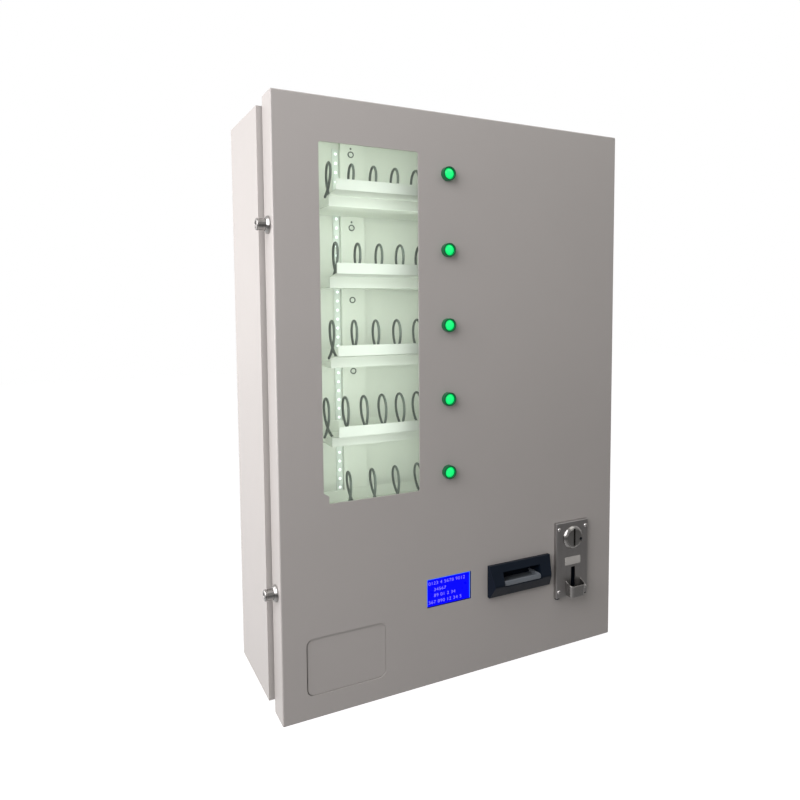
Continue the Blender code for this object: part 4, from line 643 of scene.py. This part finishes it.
def make_rail_plugs():
    """A dark ring with a pale plug over each shelf, and above some, dark domed dots as painted shade
    for small blind holes.
    """
    face, middle = 190.3, 172.6
    ring = turned(((3.3, 0.5), (3.7, 1.1), (4.5, 1.2), (5.0, 0.8), (5.1, -0.2), (3.3, -0.2),
                   (3.3, 0.5)), steps=40)
    plug = turned(((0, 0.9), (2.0, 0.85), (3.0, 0.6), (3.3, 0.3), (3.3, -0.2), (0, -0.2)), steps=32)
    places = [(middle, face, 788.3 - SHELF_PITCH * (row - 1)) for row in ROWS]
    set_out(ring, "rail_ring", "cabinet", WIRE_PAINT, places, "front")
    set_out(plug, "rail_plug", "cabinet", INNER_PAINT, places, "front")
    # painted shade: small dark domed dots stand for the shade in blind holes
    hole_shade_dot = turned(((0, 0.1), (0.7, 0.15), (1.3, 0.35), (1.6, 0.1), (1.6, -0.2), (0, -0.2)), steps=24)
    spots = [(middle, face, 797.3), (middle, face, 683.2)]
    set_out(hole_shade_dot, "rail_hole_shade", "cabinet", WIRE_PAINT, spots, "front")


def make_lamps():
    """Small round lamps in one line up the strip, each in a square holder."""
    dressed("lamp_strip", LAMP_WHITE)
    count, lowest, apart = 38, 257.5, 14.34
    holder = soft_edges(block((5.0, 5.0, 0.8), (0, 0, 0.3)), 0.3)
    lens = turned(((0, 1.5), (1.0, 1.42), (1.7, 1.1), (2.0, 0.6), (0, 0.6)), steps=16)
    places = [(149.5, 196.9, lowest + apart * step) for step in range(count)]
    set_out(holder, "lamp_holder", "cabinet", LAMP_WHITE, places, "front")
    set_out(lens, "lamp", "cabinet", LAMP_GLOW, places, "front")


def wound_wire(row):
    """One wire from its hub, wound open to a free rounded end."""
    hub_x, shelf_end, straight = 0.3735, 0.098, 2 * WIRE_R
    steps, tail_share, widening = 40, 0.36, 0.60
    narrow, wide = 0.0170, 0.0330 - WIRE_R
    pitch = COIL_PITCH[row - 1]
    first = shelf_end + COIL_LEAD[row - 1]
    turns = (hub_x - 2 * straight - first) / pitch + tail_share
    count = round(turns * 10) * 4
    points = []
    for step in range(count + 1):
        from_tail = (count - step) / steps
        angle = math.tau * (tail_share - from_tail)
        ease = min(step / steps / widening, 1)
        radius = narrow + (wide - narrow) * ease * ease * (3 - 2 * ease)
        points.append(Vector((first - pitch * (tail_share - from_tail),
                              -radius * math.sin(angle), radius * math.cos(angle))))
    root, end = points[0], points[-1]
    along = (end - points[-2]).normalized()
    lead = [Vector((hub_x - back, root.y, root.z)) for back in (0, straight * 0.5, straight)]
    tip = [end + along * (straight - WIRE_R * back) for back in (1.0, 0.5, 0.2, 0.0)]
    thick = [1.0] * (len(lead) + len(points) + 1) + [0.86, 0.55, 0.12]
    deselect_all()
    bpy.ops.curve.primitive_nurbs_path_add()
    wire = bpy.context.object
    wire.data.splines.clear()
    spline = wire.data.splines.new("POLY")
    line = lead + points + tip
    spline.points.add(len(line) - 1)
    base = at(0, 112, coil_centre(row))
    for point, spot, share in zip(spline.points, line, thick):
        point.co = (*(base + spot), 1)
        point.radius = share
    wire.data.bevel_depth = WIRE_R
    wire.data.bevel_resolution = 5
    wire.data.use_fill_caps = True
    make_active(wire)
    bpy.ops.object.convert(target="MESH")
    edit(wire, "VERT")
    bpy.ops.mesh.select_all(action="SELECT")
    bpy.ops.mesh.remove_doubles(threshold=0.000002)
    bpy.ops.mesh.normals_make_consistent(inside=False)
    settled(wire, "wound_wire_%d" % row, "coil_row_%d" % row, WIRE_PAINT, 60)
    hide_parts("coil_%d" % row)


def make_drives():
    """Hubs with their grub screws, and gear motors with terminals and gearbox screws."""
    grub = cross_screw(1.8, 1.0)
    screw = cross_screw(2.4, 1.3)
    tab = tab_pair((0.6, 3.0, 6.0), 5.5)
    for row in ROWS:
        z = coil_centre(row)
        refined("gear_motor_%d" % row, ZINC, 0.4)
        refined("coil_hub_%d" % row, BLACK_PLASTIC, 0.35)
        wound_wire(row)
        for number, (y, rise) in enumerate(((102, 0), (122, 0), (112, -10), (112, 10)), 1):
            placed_copy(grub, "hub_screw_%d_%d" % (row, number), "coil_row_%d" % row, ZINC,
                        (373.8, y, z + rise), "left")
        for number, (y, rise) in enumerate(((95, -14), (129, -14), (95, 36), (129, 36)), 1):
            placed_copy(screw, "gearbox_screw_%d_%d" % (row, number), "cabinet", ZINC,
                        (405.5, y, z + rise), "right")
        placed_copy(tab, "motor_tabs_%d" % row, "cabinet", COPPER,
                    (435.5, 112, z + 20), "right")
    for pattern in (grub, screw, tab):
        bpy.data.objects.remove(pattern)


def make_electrics():
    """Control board with its fittings, power supply with its terminals, gland nut and coin box."""
    refined("control_board", BOARD_GREEN, 0.2)
    refined("power_supply", ZINC, 0.8)
    refined("cable_gland", BLACK_PLASTIC, 0.4)
    refined("cash_box", ZINC, 0.5)
    can = turned(((0, 9.4), (3.2, 9.4), (3.6, 9.0), (4.0, 9.2), (4.2, 8.6), (4.2, 1.6), (3.9, 1.2),
                  (4.2, 0.8), (4.2, -0.2), (0, -0.2)), steps=24)
    cans = [(452 + 10.5 * step, 188.9, 597) for step in range(4)]
    set_out(can, "board_can", "cabinet", BLACK_PLASTIC, cans, "front")
    pins = joined(*[block((0.7, 0.7, 7.0), (2.5 * step, 0, 3.3)) for step in range(7)])
    heads = [(455, 188.9, 547), (505, 188.9, 547), (455, 188.9, 702), (505, 188.9, 702)]
    set_out(pins, "board_pins", "cabinet", COPPER, heads, "front")
    strip = soft_edges(block((20.0, 6.5, 4.0), (7.5, 0, 1.8)), 0.4)
    set_out(strip, "pin_strip", "cabinet", BLACK_PLASTIC, heads, "front")
    corner = [(x, 188.9, z) for x in (452, 536) for z in (546, 704)]
    set_out(cross_screw(2.4, 1.2), "board_screw", "cabinet", ZINC, corner, "front")
    rail = soft_edges(bar((455, 153.5, 239), (535, 160.7, 251)), 0.6)
    settled(rail, "terminal_block", "cabinet", BLACK_PLASTIC)
    posts = [(462 + 13.2 * step, 153.5, 245) for step in range(6)]
    set_out(cross_screw(3.4, 1.0), "terminal_screw", "cabinet", ZINC, posts, "front")
    edge = [(x, 160.6, z) for x in (451, 539) for z in (262, 388)]
    set_out(cross_screw(2.6, 1.2), "supply_screw", "cabinet", ZINC, edge, "front")
    set_out(hex_nut(14.0, 5.0, 8.8), "gland_nut", "cabinet", BLACK_PLASTIC,
            [(535, 150, 19.0)])
    grip = rounded(bar((386, 46.6, 40), (429, 49.2, 49)), 1.2, 0, 3)
    posts = [bar((x, 48.8, 41), (x + 4, 52.4, 48)) for x in (388, 423)]
    settled(soft_edges(joined(grip, *posts), 0.4), "coin_box_handle", "cabinet", ZINC)


make_cabinet()
make_rail_plugs()
make_lamps()
make_drives()
make_electrics()


# ---------------------------------------------------------------- door and what is on it
def make_door():
    """Shell, flap with its raised face, pane, and the frame that holds the pane."""
    refined("door_shell", DOOR_PAINT, 0.45, 30)
    refined("pickup_flap", FLAP_PAINT, 0.3)
    low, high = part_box("pickup_flap")
    left, right = low.x * 1000 + ORIGIN[0] + 10.1, high.x * 1000 + ORIGIN[0] - 8.8
    panel = rounded(bar((left, 1.5, 32.4), (right, 3.6, 110.7)), 9.4, 1, 8)
    settled(soft_edges(panel, 0.3), "flap_panel", NODES["pickup_flap"]["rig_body"], FLAP_PAINT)
    dressed("window_pane", clear_glass("clear_pane", (0.93, 0.97, 0.955)))
    refined("window_frame", BLACK_PLASTIC, 0.3)
    places = [(x, 6.9, z) for x in (47.5, 212.5) for z in (282, 404, 526, 648, 770)]
    set_out(cross_screw(2.6, 1.4), "frame_screw", "door", ZINC, places, "back")


def make_buttons():
    """Tall threaded rings with a nut and two tabs behind the sheet, and lit domed caps."""
    thread = []
    for step in range(12):
        thread += [(7.8, -6.2 - step * 1.2), (7.45, -6.8 - step * 1.2)]
    ring = turned(((7.65, 8.0), (7.85, 8.35), (8.15, 8.5), (9.2, 8.5), (9.6, 8.35), (9.8, 7.9),
                   (9.8, 1.4), (9.8, 0.3), (7.8, 0.3), (7.8, -5.6), *thread, (7.4, -21),
                   (3.9, -21), (3.9, -7.5), (7.65, -7.5), (7.65, 8.0)), steps=64)
    cap = turned(((0, 8.0), (2.6, 7.92), (4.4, 7.7), (5.7, 7.3), (6.6, 6.7), (7.15, 6.0),
                  (7.4, 5.0), (7.4, -4), (3.4, -4), (3.4, -16), (0, -16)), steps=56)
    nut = hex_nut(12.2, 4.0, 7.9)
    tabs = tab_pair((0.7, 3.2, 7.0), 4.2)
    for row in ROWS:
        x, z = 245, 736 - BUTTON_PITCH * (row - 1)
        obj = placed_copy(ring, "button_collar_%d" % row, "door", RING_GREEN,
                          (x, 0, z), "front", 40)
        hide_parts("button_ring_%d" % row)
        obj = placed_copy(cap, "button_lens_%d" % row, "button_%d" % row, CAP_GREEN,
                          (x, 0, z), "front", 50)
        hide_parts("button_cap_%d" % row)
        placed_copy(nut, "button_nut_%d" % row, "door", BLACK_PLASTIC,
                    (x, 1.8, z), "back")
        placed_copy(tabs, "button_tabs_%d" % row, "door", COPPER, (x, 20.5, z), "back")
    for pattern in (ring, cap, nut, tabs):
        bpy.data.objects.remove(pattern)


def make_display():
    """Lit display: glass with a bright rim and plain numbers, black strips along its right and bottom
    edges as painted shadow, its card nutted to four studs.
    """
    module = refined("display_module", SCREEN_BLUE, 0.2)
    module.data.materials.append(BOARD_GREEN)
    behind = at(0, 3.0, 0).y
    for face in module.data.polygons:
        if face.center.y > behind:
            face.material_index = 1
    rim = bar((210.9, 1.1, 117.0), (281.9, 1.75, 157.6))
    subtract(rim, bar((211.8, 0, 116.0), (280.9, 3, 156.7)))
    settled(soft_edges(rim, 0.12, 1), "display_rim", "door", RIM_BLUE)
    # painted shadow: black strips along the display's right and bottom edges, where its recess is
    # shaded
    shadow_strips = joined(bar((282.2, 0.6, 115.9), (283.3, 1.75, 157.6)),
                  bar((210.9, 0.6, 115.9), (282.3, 1.75, 116.8)))
    settled(soft_edges(shadow_strips, 0.12, 1), "display_shadow_strips", "door", BLACK_PLASTIC)
    lines = (("0123 4 5678 9012", 213.4, 148.3), ("34567", 222.0, 138.6),
             ("89 01 2 34", 222.0, 129.8), ("567 890 12 34 5", 213.4, 120.4))
    for number, (words, x, z) in enumerate(lines, 1):
        deselect_all()
        bpy.ops.object.text_add()
        text = bpy.context.object
        text.data.body = words
        text.data.size = 0.0068
        text.data.extrude = 0.00004
        text.data.offset = -0.00008
        text.data.space_character = 1.08
        make_active(text)
        bpy.ops.object.convert(target="MESH")
        text = bpy.context.object
        text.rotation_euler = TURN["front"]
        text.location = at(x, 1.68, z)
        text.scale = (1.12, 1.0, 1.0)
        settled(text, "display_numbers_%d" % number, "door", MARK_LILAC, 20)
    studs = [(x, 10.1, z) for x in (200.5, 293.5) for z in (106.75, 166.75)]
    set_out(hex_nut(3.6, 2.2, 1.4), "display_nut", "door", ZINC, studs, "back")
    chip = soft_edges(block((16, 10, 2.4), (0, 0, 1.1)), 0.3)
    set_out(chip, "display_chip", "door", BLACK_PLASTIC,
            [(225, 10.0, 137), (262, 10.0, 137)], "back")


def make_bill_acceptor():
    """Ridged bezel, tongue tray, and the body behind with ribs, belt covers and screws."""
    refined("bill_bezel", BLACK_PLASTIC, 0.6)
    lip = rounded(bar((333.5, -14.9, 128.9), (399.9, -12.4, 136.4)), 2.4, 1, 4)
    floor = bar((334.5, -14.0, 128.9), (398.9, 15.5, 130.6))
    rails = [bar((x, -13.6, 129.4), (x + 2.6, 15.5, 136.4)) for x in (333.9, 396.9)]
    tongue = soft_edges(joined(lip, floor, *rails), 0.5)
    settled(tongue, "bill_tray", "door", GREY_PLASTIC)
    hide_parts("bill_tongue")
    refined("bill_validator", BLACK_PLASTIC, 0.9)
    rib = soft_edges(block((1.0, 3.0, 52.0), (0, 0, 26.0)), 0.3)
    for side, x in (("left", 319.6), ("right", 414.4)):
        for step in range(6):
            placed_copy(rib, "validator_rib_%s_%d" % (side, step + 1), "door", BLACK_PLASTIC,
                        (x, 28 + 9 * step, 103))
    bpy.data.objects.remove(rib)
    cover = soft_edges(rounded(bar((332, 30, 160.2), (402, 64, 162.0)), 4, 2), 0.4)
    settled(cover, "validator_cover", "door", BLACK_PLASTIC)
    places = [(x, y, 162.0) for x in (338, 396) for y in (36, 58)]
    set_out(cross_screw(2.2, 1.0), "validator_screw", "door", ZINC, places)
    plug = soft_edges(bar((350, 99.8, 150), (384, 106.0, 162)), 0.6)
    settled(plug, "validator_plug", "door", GREY_PLASTIC)


def make_coin_plate():
    """Pressed plate with a rounded rim, four cross screws, a bare label, and two black blocks under its
    lower corners as painted shadow.
    """
    plate = bar((435, -7, 84.5), (497.5, -0.3, 207))
    edit(plate, "EDGE")
    front = at(0, -6.9, 0).y
    pick(plate, "edges", lambda e: min(v.co.y for v in e.verts) < front)
    bpy.ops.mesh.bevel(offset=0.0015, segments=4, affect="EDGES")
    pick(plate, "faces", lambda f: f.normal.y > 0.9)
    bpy.ops.mesh.delete(type="FACE")
    bpy.ops.object.mode_set(mode="OBJECT")
    apply_modifier(plate, "SOLIDIFY", thickness=0.0017, offset=-1, use_even_offset=True)
    round_hole = turned(((0, -3), (15.8, -3), (15.8, 3), (0, 3)), 64, (466.5, -6, 181), "front")
    channel = rounded(bar((463.9, -10, 98.5), (471.9, 2, 132.5)), 1.2, 1, 4)
    subtract(plate, round_hole, channel)
    settled(plate, "coin_front", "door", BRUSHED_STEEL, 30)
    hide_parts("coin_plate")
    places = [(x, -7.0, z) for x in (440.2, 492.3) for z in (95.0, 196.5)]
    set_out(cross_screw(3.3, 2.0), "plate_screw", "door", CHROME, places, "front")
    # the white label, in painted shade as mid grey
    label = soft_edges(rounded(bar((452, -7.25, 136.4), (482.4, -6.9, 149.2)), 0.6, 1, 3), 0.08, 1)
    settled(label, "plate_label", "door", SHADE_GREYED_LABEL)
    # painted shadow: black blocks under the plate's two lower corners
    for number, x in enumerate((436.2, 489.8), 1):
        foot = soft_edges(bar((x, -5.6, 82.6), (x + 6.5, -0.2, 84.7)), 0.5)
        settled(foot, "plate_corner_shadow_%d" % number, "door", BLACK_PLASTIC)
    liner = bar((462.5, -0.4, 99), (473.3, 0.2, 132))
    settled(soft_edges(liner, 0.1, 1), "channel_back", "door", BLACK_PLASTIC)


def make_coin_knob():
    """Entry knob: a coned rim, a flat face with a fine groove, the coin slot and its notch."""
    knob = turned(((0, 5.2), (9.0, 5.15), (13.6, 5.0), (14.1, 4.8), (14.5, 4.4), (14.9, 4.75),
                   (15.4, 4.9), (16.2, 4.5), (17.6, 3.2), (18.6, 2.0), (19.0, 1.3), (19.0, 0.3),
                   (15.5, 0.3), (15.5, -6.7), (0, -6.7)), 72, (466.5, -7.0, 181), "front")
    slot = bar((465.0, -14, 167.25), (468.0, 1, 194.75))
    mouth = bar((464.8, -14, 166.0), (468.2, -10.0, 196.0))
    well = turned(((0, -8), (4.2, -8), (4.2, 8), (0, 8)), 32, (480.6, -8, 177), "front")
    notch = bar((480.2, -14, 173.4), (487, -7.6, 180.6))
    subtract(knob, slot, mouth, well, notch)
    settled(knob, "coin_entry", "door", SATIN_CHROME, 30)
    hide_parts("coin_knob")
    backing = bar((464.0, -1.2, 166.8), (469.0, -0.4, 195.2))
    settled(soft_edges(backing, 0.1, 1), "slot_back", "door", BLACK_PLASTIC)
    refined("coin_return_button", BLACK_PLASTIC, 0.4)


def make_return_cup():
    """Scoop on the plate with a rounded front, open above, its rim cut on a slant."""
    cup = rounded(bar((452.6, -23.9, 87.6), (483.4, 10, 112)), 6.5, 2, 8)
    inside = rounded(bar((454.0, -22.5, 89.2), (482.0, 8, 118)), 5.1, 2, 8)
    for blank in (cup, inside):
        edit(blank, "VERT")
        low = at(0, 0, 95).z
        pick(blank, "verts", lambda v: v.co.z < low)
        bpy.ops.transform.resize(value=(0.90, 0.94, 1), center_override=at(468, 10, 88))
        bpy.ops.object.mode_set(mode="OBJECT")
    slant = bar((450, -26, 104.5), (486, -6, 125))
    edit(slant, "VERT")
    back, high = at(0, -10, 0).y, at(0, 0, 110).z
    pick(slant, "verts", lambda v: v.co.y > back and v.co.z < high)
    bpy.ops.transform.translate(value=(0, 0, 0.0078))
    bpy.ops.object.mode_set(mode="OBJECT")
    subtract(cup, inside, bar((450, -7.25, 80), (486, 12, 120)), slant)
    soft_edges(cup, 0.5, 3, 50)
    settled(cup, "return_scoop", "door", SATIN_CHROME, 30)
    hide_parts("coin_return_cup")


def make_coin_mechanism():
    """The body behind the coin plate: side cover with screws, lever and a plug."""
    refined("coin_mechanism", BLACK_PLASTIC, 0.9)
    cover = soft_edges(rounded(bar((443.7, 8, 125), (445.0, 56, 190)), 3, 0), 0.3)
    settled(cover, "mechanism_cover", "door", ZINC)
    places = [(443.7, y, z) for y in (13, 51) for z in (130, 185)]
    set_out(cross_screw(2.2, 1.0), "mechanism_screw", "door", ZINC, places, "left")
    lever = rounded(bar((487.6, 14, 150), (489.4, 20, 192)), 2.5, 0)
    settled(soft_edges(lever, 0.3), "mechanism_lever", "door", ZINC)
    plug = soft_edges(bar((455, 61.6, 160), (478, 67.5, 170)), 0.5)
    settled(plug, "mechanism_plug", "door", GREY_PLASTIC)


def make_locks():
    """Push locks: coned collar and nut on the door's wall, plunger with a keyed disc."""
    foot, step, play = -21.5, 1.5, 0.3
    collar = turned(((7.6, 4.2), (7.9, 4.8), (8.6, 4.8), (9.0, 4.6), (11.2, 1.9), (11.5, 1.3),
                     (11.5, 0.3), (8.6, 0.3), (8.6, foot), (3.9, foot), (3.9, foot + step),
                     (7.6, foot + step), (7.6, 4.2)), steps=64)
    head_low = foot + step + LOCK_TRAVEL + play
    plunger = turned(((0, 13.8), (3.9, 13.8), (4.2, 14.1), (4.2, 15.6), (4.5, 16.0), (6.9, 16.0),
                      (7.4, 15.7), (7.8, 15.0), (7.8, 13.9), (7.5, 13.3), (7.3, 13.0),
                      (7.3, head_low), (3.6, head_low), (3.6, -23.7), (0, -23.7)), steps=64)
    disc = turned(((0, 15.3), (3.0, 15.3), (3.5, 15.1), (3.7, 14.7), (3.7, 13.6), (0, 13.6)), steps=40)
    subtract(disc, block((1.3, 5.0, 3.0), (0, 0, 15.4)), block((2.6, 1.3, 3.0), (0.4, 1.2, 15.4)))
    nut = hex_nut(12.5, 4.0, 8.7)
    for end, z in enumerate(LOCK_HEIGHTS, 1):
        place, body = (0, 20, z), "lock_%d" % end
        obj = placed_copy(collar, "lock_sleeve_%d" % end, "door", SATIN_CHROME, place,
                          "left", 30)
        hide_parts("lock_collar_%d" % end)
        obj = placed_copy(plunger, "lock_barrel_%d" % end, body, SATIN_CHROME, place,
                          "left", 30)
        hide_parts("lock_plunger_%d" % end)
        placed_copy(disc, "lock_disc_%d" % end, body, BRUSHED_STEEL, place, "left", 30)
        placed_copy(nut, "lock_nut_%d" % end, "door", ZINC, (1.8, 20, z), "right")
    for pattern in (collar, plunger, disc, nut):
        bpy.data.objects.remove(pattern)


make_door()
make_buttons()
make_display()
make_bill_acceptor()
make_coin_plate()
make_coin_knob()
make_return_cup()
make_coin_mechanism()
make_locks()


# ---------------------------------------------------------------- floor, light and camera
def make_room():
    """A plain pale floor well below the machine, which hangs on a wall."""
    deselect_all()
    bpy.ops.mesh.primitive_plane_add(size=24, location=(0, 0, -1.15))
    floor = bpy.context.object
    floor.name = "floor"
    material = bpy.data.materials.new("pale_floor")
    material.use_nodes = True
    tree = material.node_tree
    tree.nodes.remove(tree.nodes["Principled BSDF"])
    rays = add(tree, "LightPath").outputs
    seen = calc(tree, "MAXIMUM", rays["Is Camera Ray"], rays["Is Transmission Ray"])
    away = add(tree, "SeparateXYZ", {0: add(tree, "TexCoord").outputs["Object"]}).outputs[1]
    mirrored = calc(tree, "MULTIPLY", rays["Is Glossy Ray"], ramp(tree, away, -1.0, 1.5, 0.0, 0.7))
    strength = calc(tree, "MAXIMUM", calc(tree, "MULTIPLY", seen, 0.90), mirrored)
    plain = add(tree, "BsdfDiffuse", {"Color": (0.55, 0.55, 0.55, 1)})
    white = add(tree, "Emission", {"Color": (1, 1, 1, 1), "Strength": strength})
    both = add(tree, "AddShader", {0: plain.outputs[0], 1: white.outputs[0]})
    tree.links.new(both.outputs[0], tree.nodes["Material Output"].inputs[0])
    floor.data.materials.append(material)


def make_world():
    """Even soft light; white where it is seen, and white behind the machine in its gloss."""
    world = bpy.data.worlds.new("studio")
    bpy.context.scene.world = world
    world.use_nodes = True
    tree = world.node_tree
    rays = add(tree, "LightPath").outputs
    seen = calc(tree, "MAXIMUM", rays["Is Camera Ray"], rays["Is Transmission Ray"])
    away = add(tree, "SeparateXYZ", {0: add(tree, "TexCoord").outputs["Generated"]}).outputs[1]
    gloss = ramp(tree, away, -0.35, 0.35, 0.38, 1.0)
    even = add(tree, "Mix", {0: rays["Is Glossy Ray"], 2: 0.20, 3: gloss}, data_type="FLOAT").outputs[0]
    background = tree.nodes["Background"]
    tree.links.new(calc(tree, "MAXIMUM", seen, even), background.inputs["Strength"])
    tint = blend(tree, seen, (1.0, 0.975, 0.955, 1), (1, 1, 1, 1))
    tree.links.new(tint, background.inputs["Color"])


def area_lamp(name, size, place, target, power, colour):
    """A rectangular lamp that points from its place at its target."""
    deselect_all()
    bpy.ops.object.light_add(type="AREA", location=place)
    obj = bpy.context.object
    obj.name = name
    obj.data.shape = "RECTANGLE"
    obj.data.size, obj.data.size_y = size
    obj.data.energy = power
    obj.data.color = colour
    obj.rotation_euler = (Vector(target) - Vector(place)).to_track_quat("-Z", "Y").to_euler()
    return obj


def make_light():
    """A large soft lamp at the left, two weaker ones, and the machine's own light inside."""
    area_lamp("left_softbox", (1.7, 1.8), (-1.4, -0.80, 0.9), (-0.2, -0.1, 0.1), 35,
              (1.0, 0.965, 0.985))
    area_lamp("right_softbox", (1.0, 1.0), (0.6, -0.9, 1.2), (0.1, -0.1, 0.2), 3.4,
              (1.0, 0.98, 0.94))
    area_lamp("side_fill", (0.8, 0.8), (-1.1, 0.25, 0.10), (-0.28, -0.1, 0.05), 6.5,
              (1.0, 0.96, 0.96))
    inside = [area_lamp("window_light", (0.14, 0.49), at(130, 13, 526), at(130, 190, 526), 0.20,
                        (0.95, 1.0, 0.95))]
    for row in ROWS:
        bay = coil_centre(row) + 38
        wash = bay - 8
        inside += [area_lamp("bay_light_%d" % row, (0.20, 0.025), at(180, 54, bay),
                             at(180, 190, bay), 0.092 - 0.005 * row, (0.95, 1.0, 0.93)),
                   area_lamp("wall_wash_%d" % row, (0.27, 0.085), at(185, 150, wash),
                             at(185, 190, wash), 0.034, (0.92, 1.0, 0.91))]
    strip = area_lamp("strip_light", (0.53, 0.008), at(147, 187, 526), at(200, 187, 526), 0.011,
                      (0.95, 1.0, 0.97))
    strip.rotation_euler.rotate_axis("Z", math.pi / 2)
    for light in (*inside, strip):
        for ray in ("camera", "transmission", "glossy"):
            setattr(light, "visible_" + ray, False)


def make_camera():
    """The photo's camera, as fitted to the door's corners."""
    tilt, pan = 0.0757, 0.5198
    deselect_all()
    bpy.ops.object.camera_add(location=(-0.50529, -1.10881, 0.14614),
                              rotation=(math.pi / 2 - tilt, 0.0, -pan))
    camera = bpy.context.object
    camera.data.sensor_width = 36
    camera.data.lens = 32.362
    camera.data.shift_x = -0.09364
    camera.data.shift_y = -0.05552
    bpy.context.scene.camera = camera


make_room()
make_world()
make_light()
make_camera()
bpy.context.scene.view_settings.view_transform = "Standard"

deselect_all()
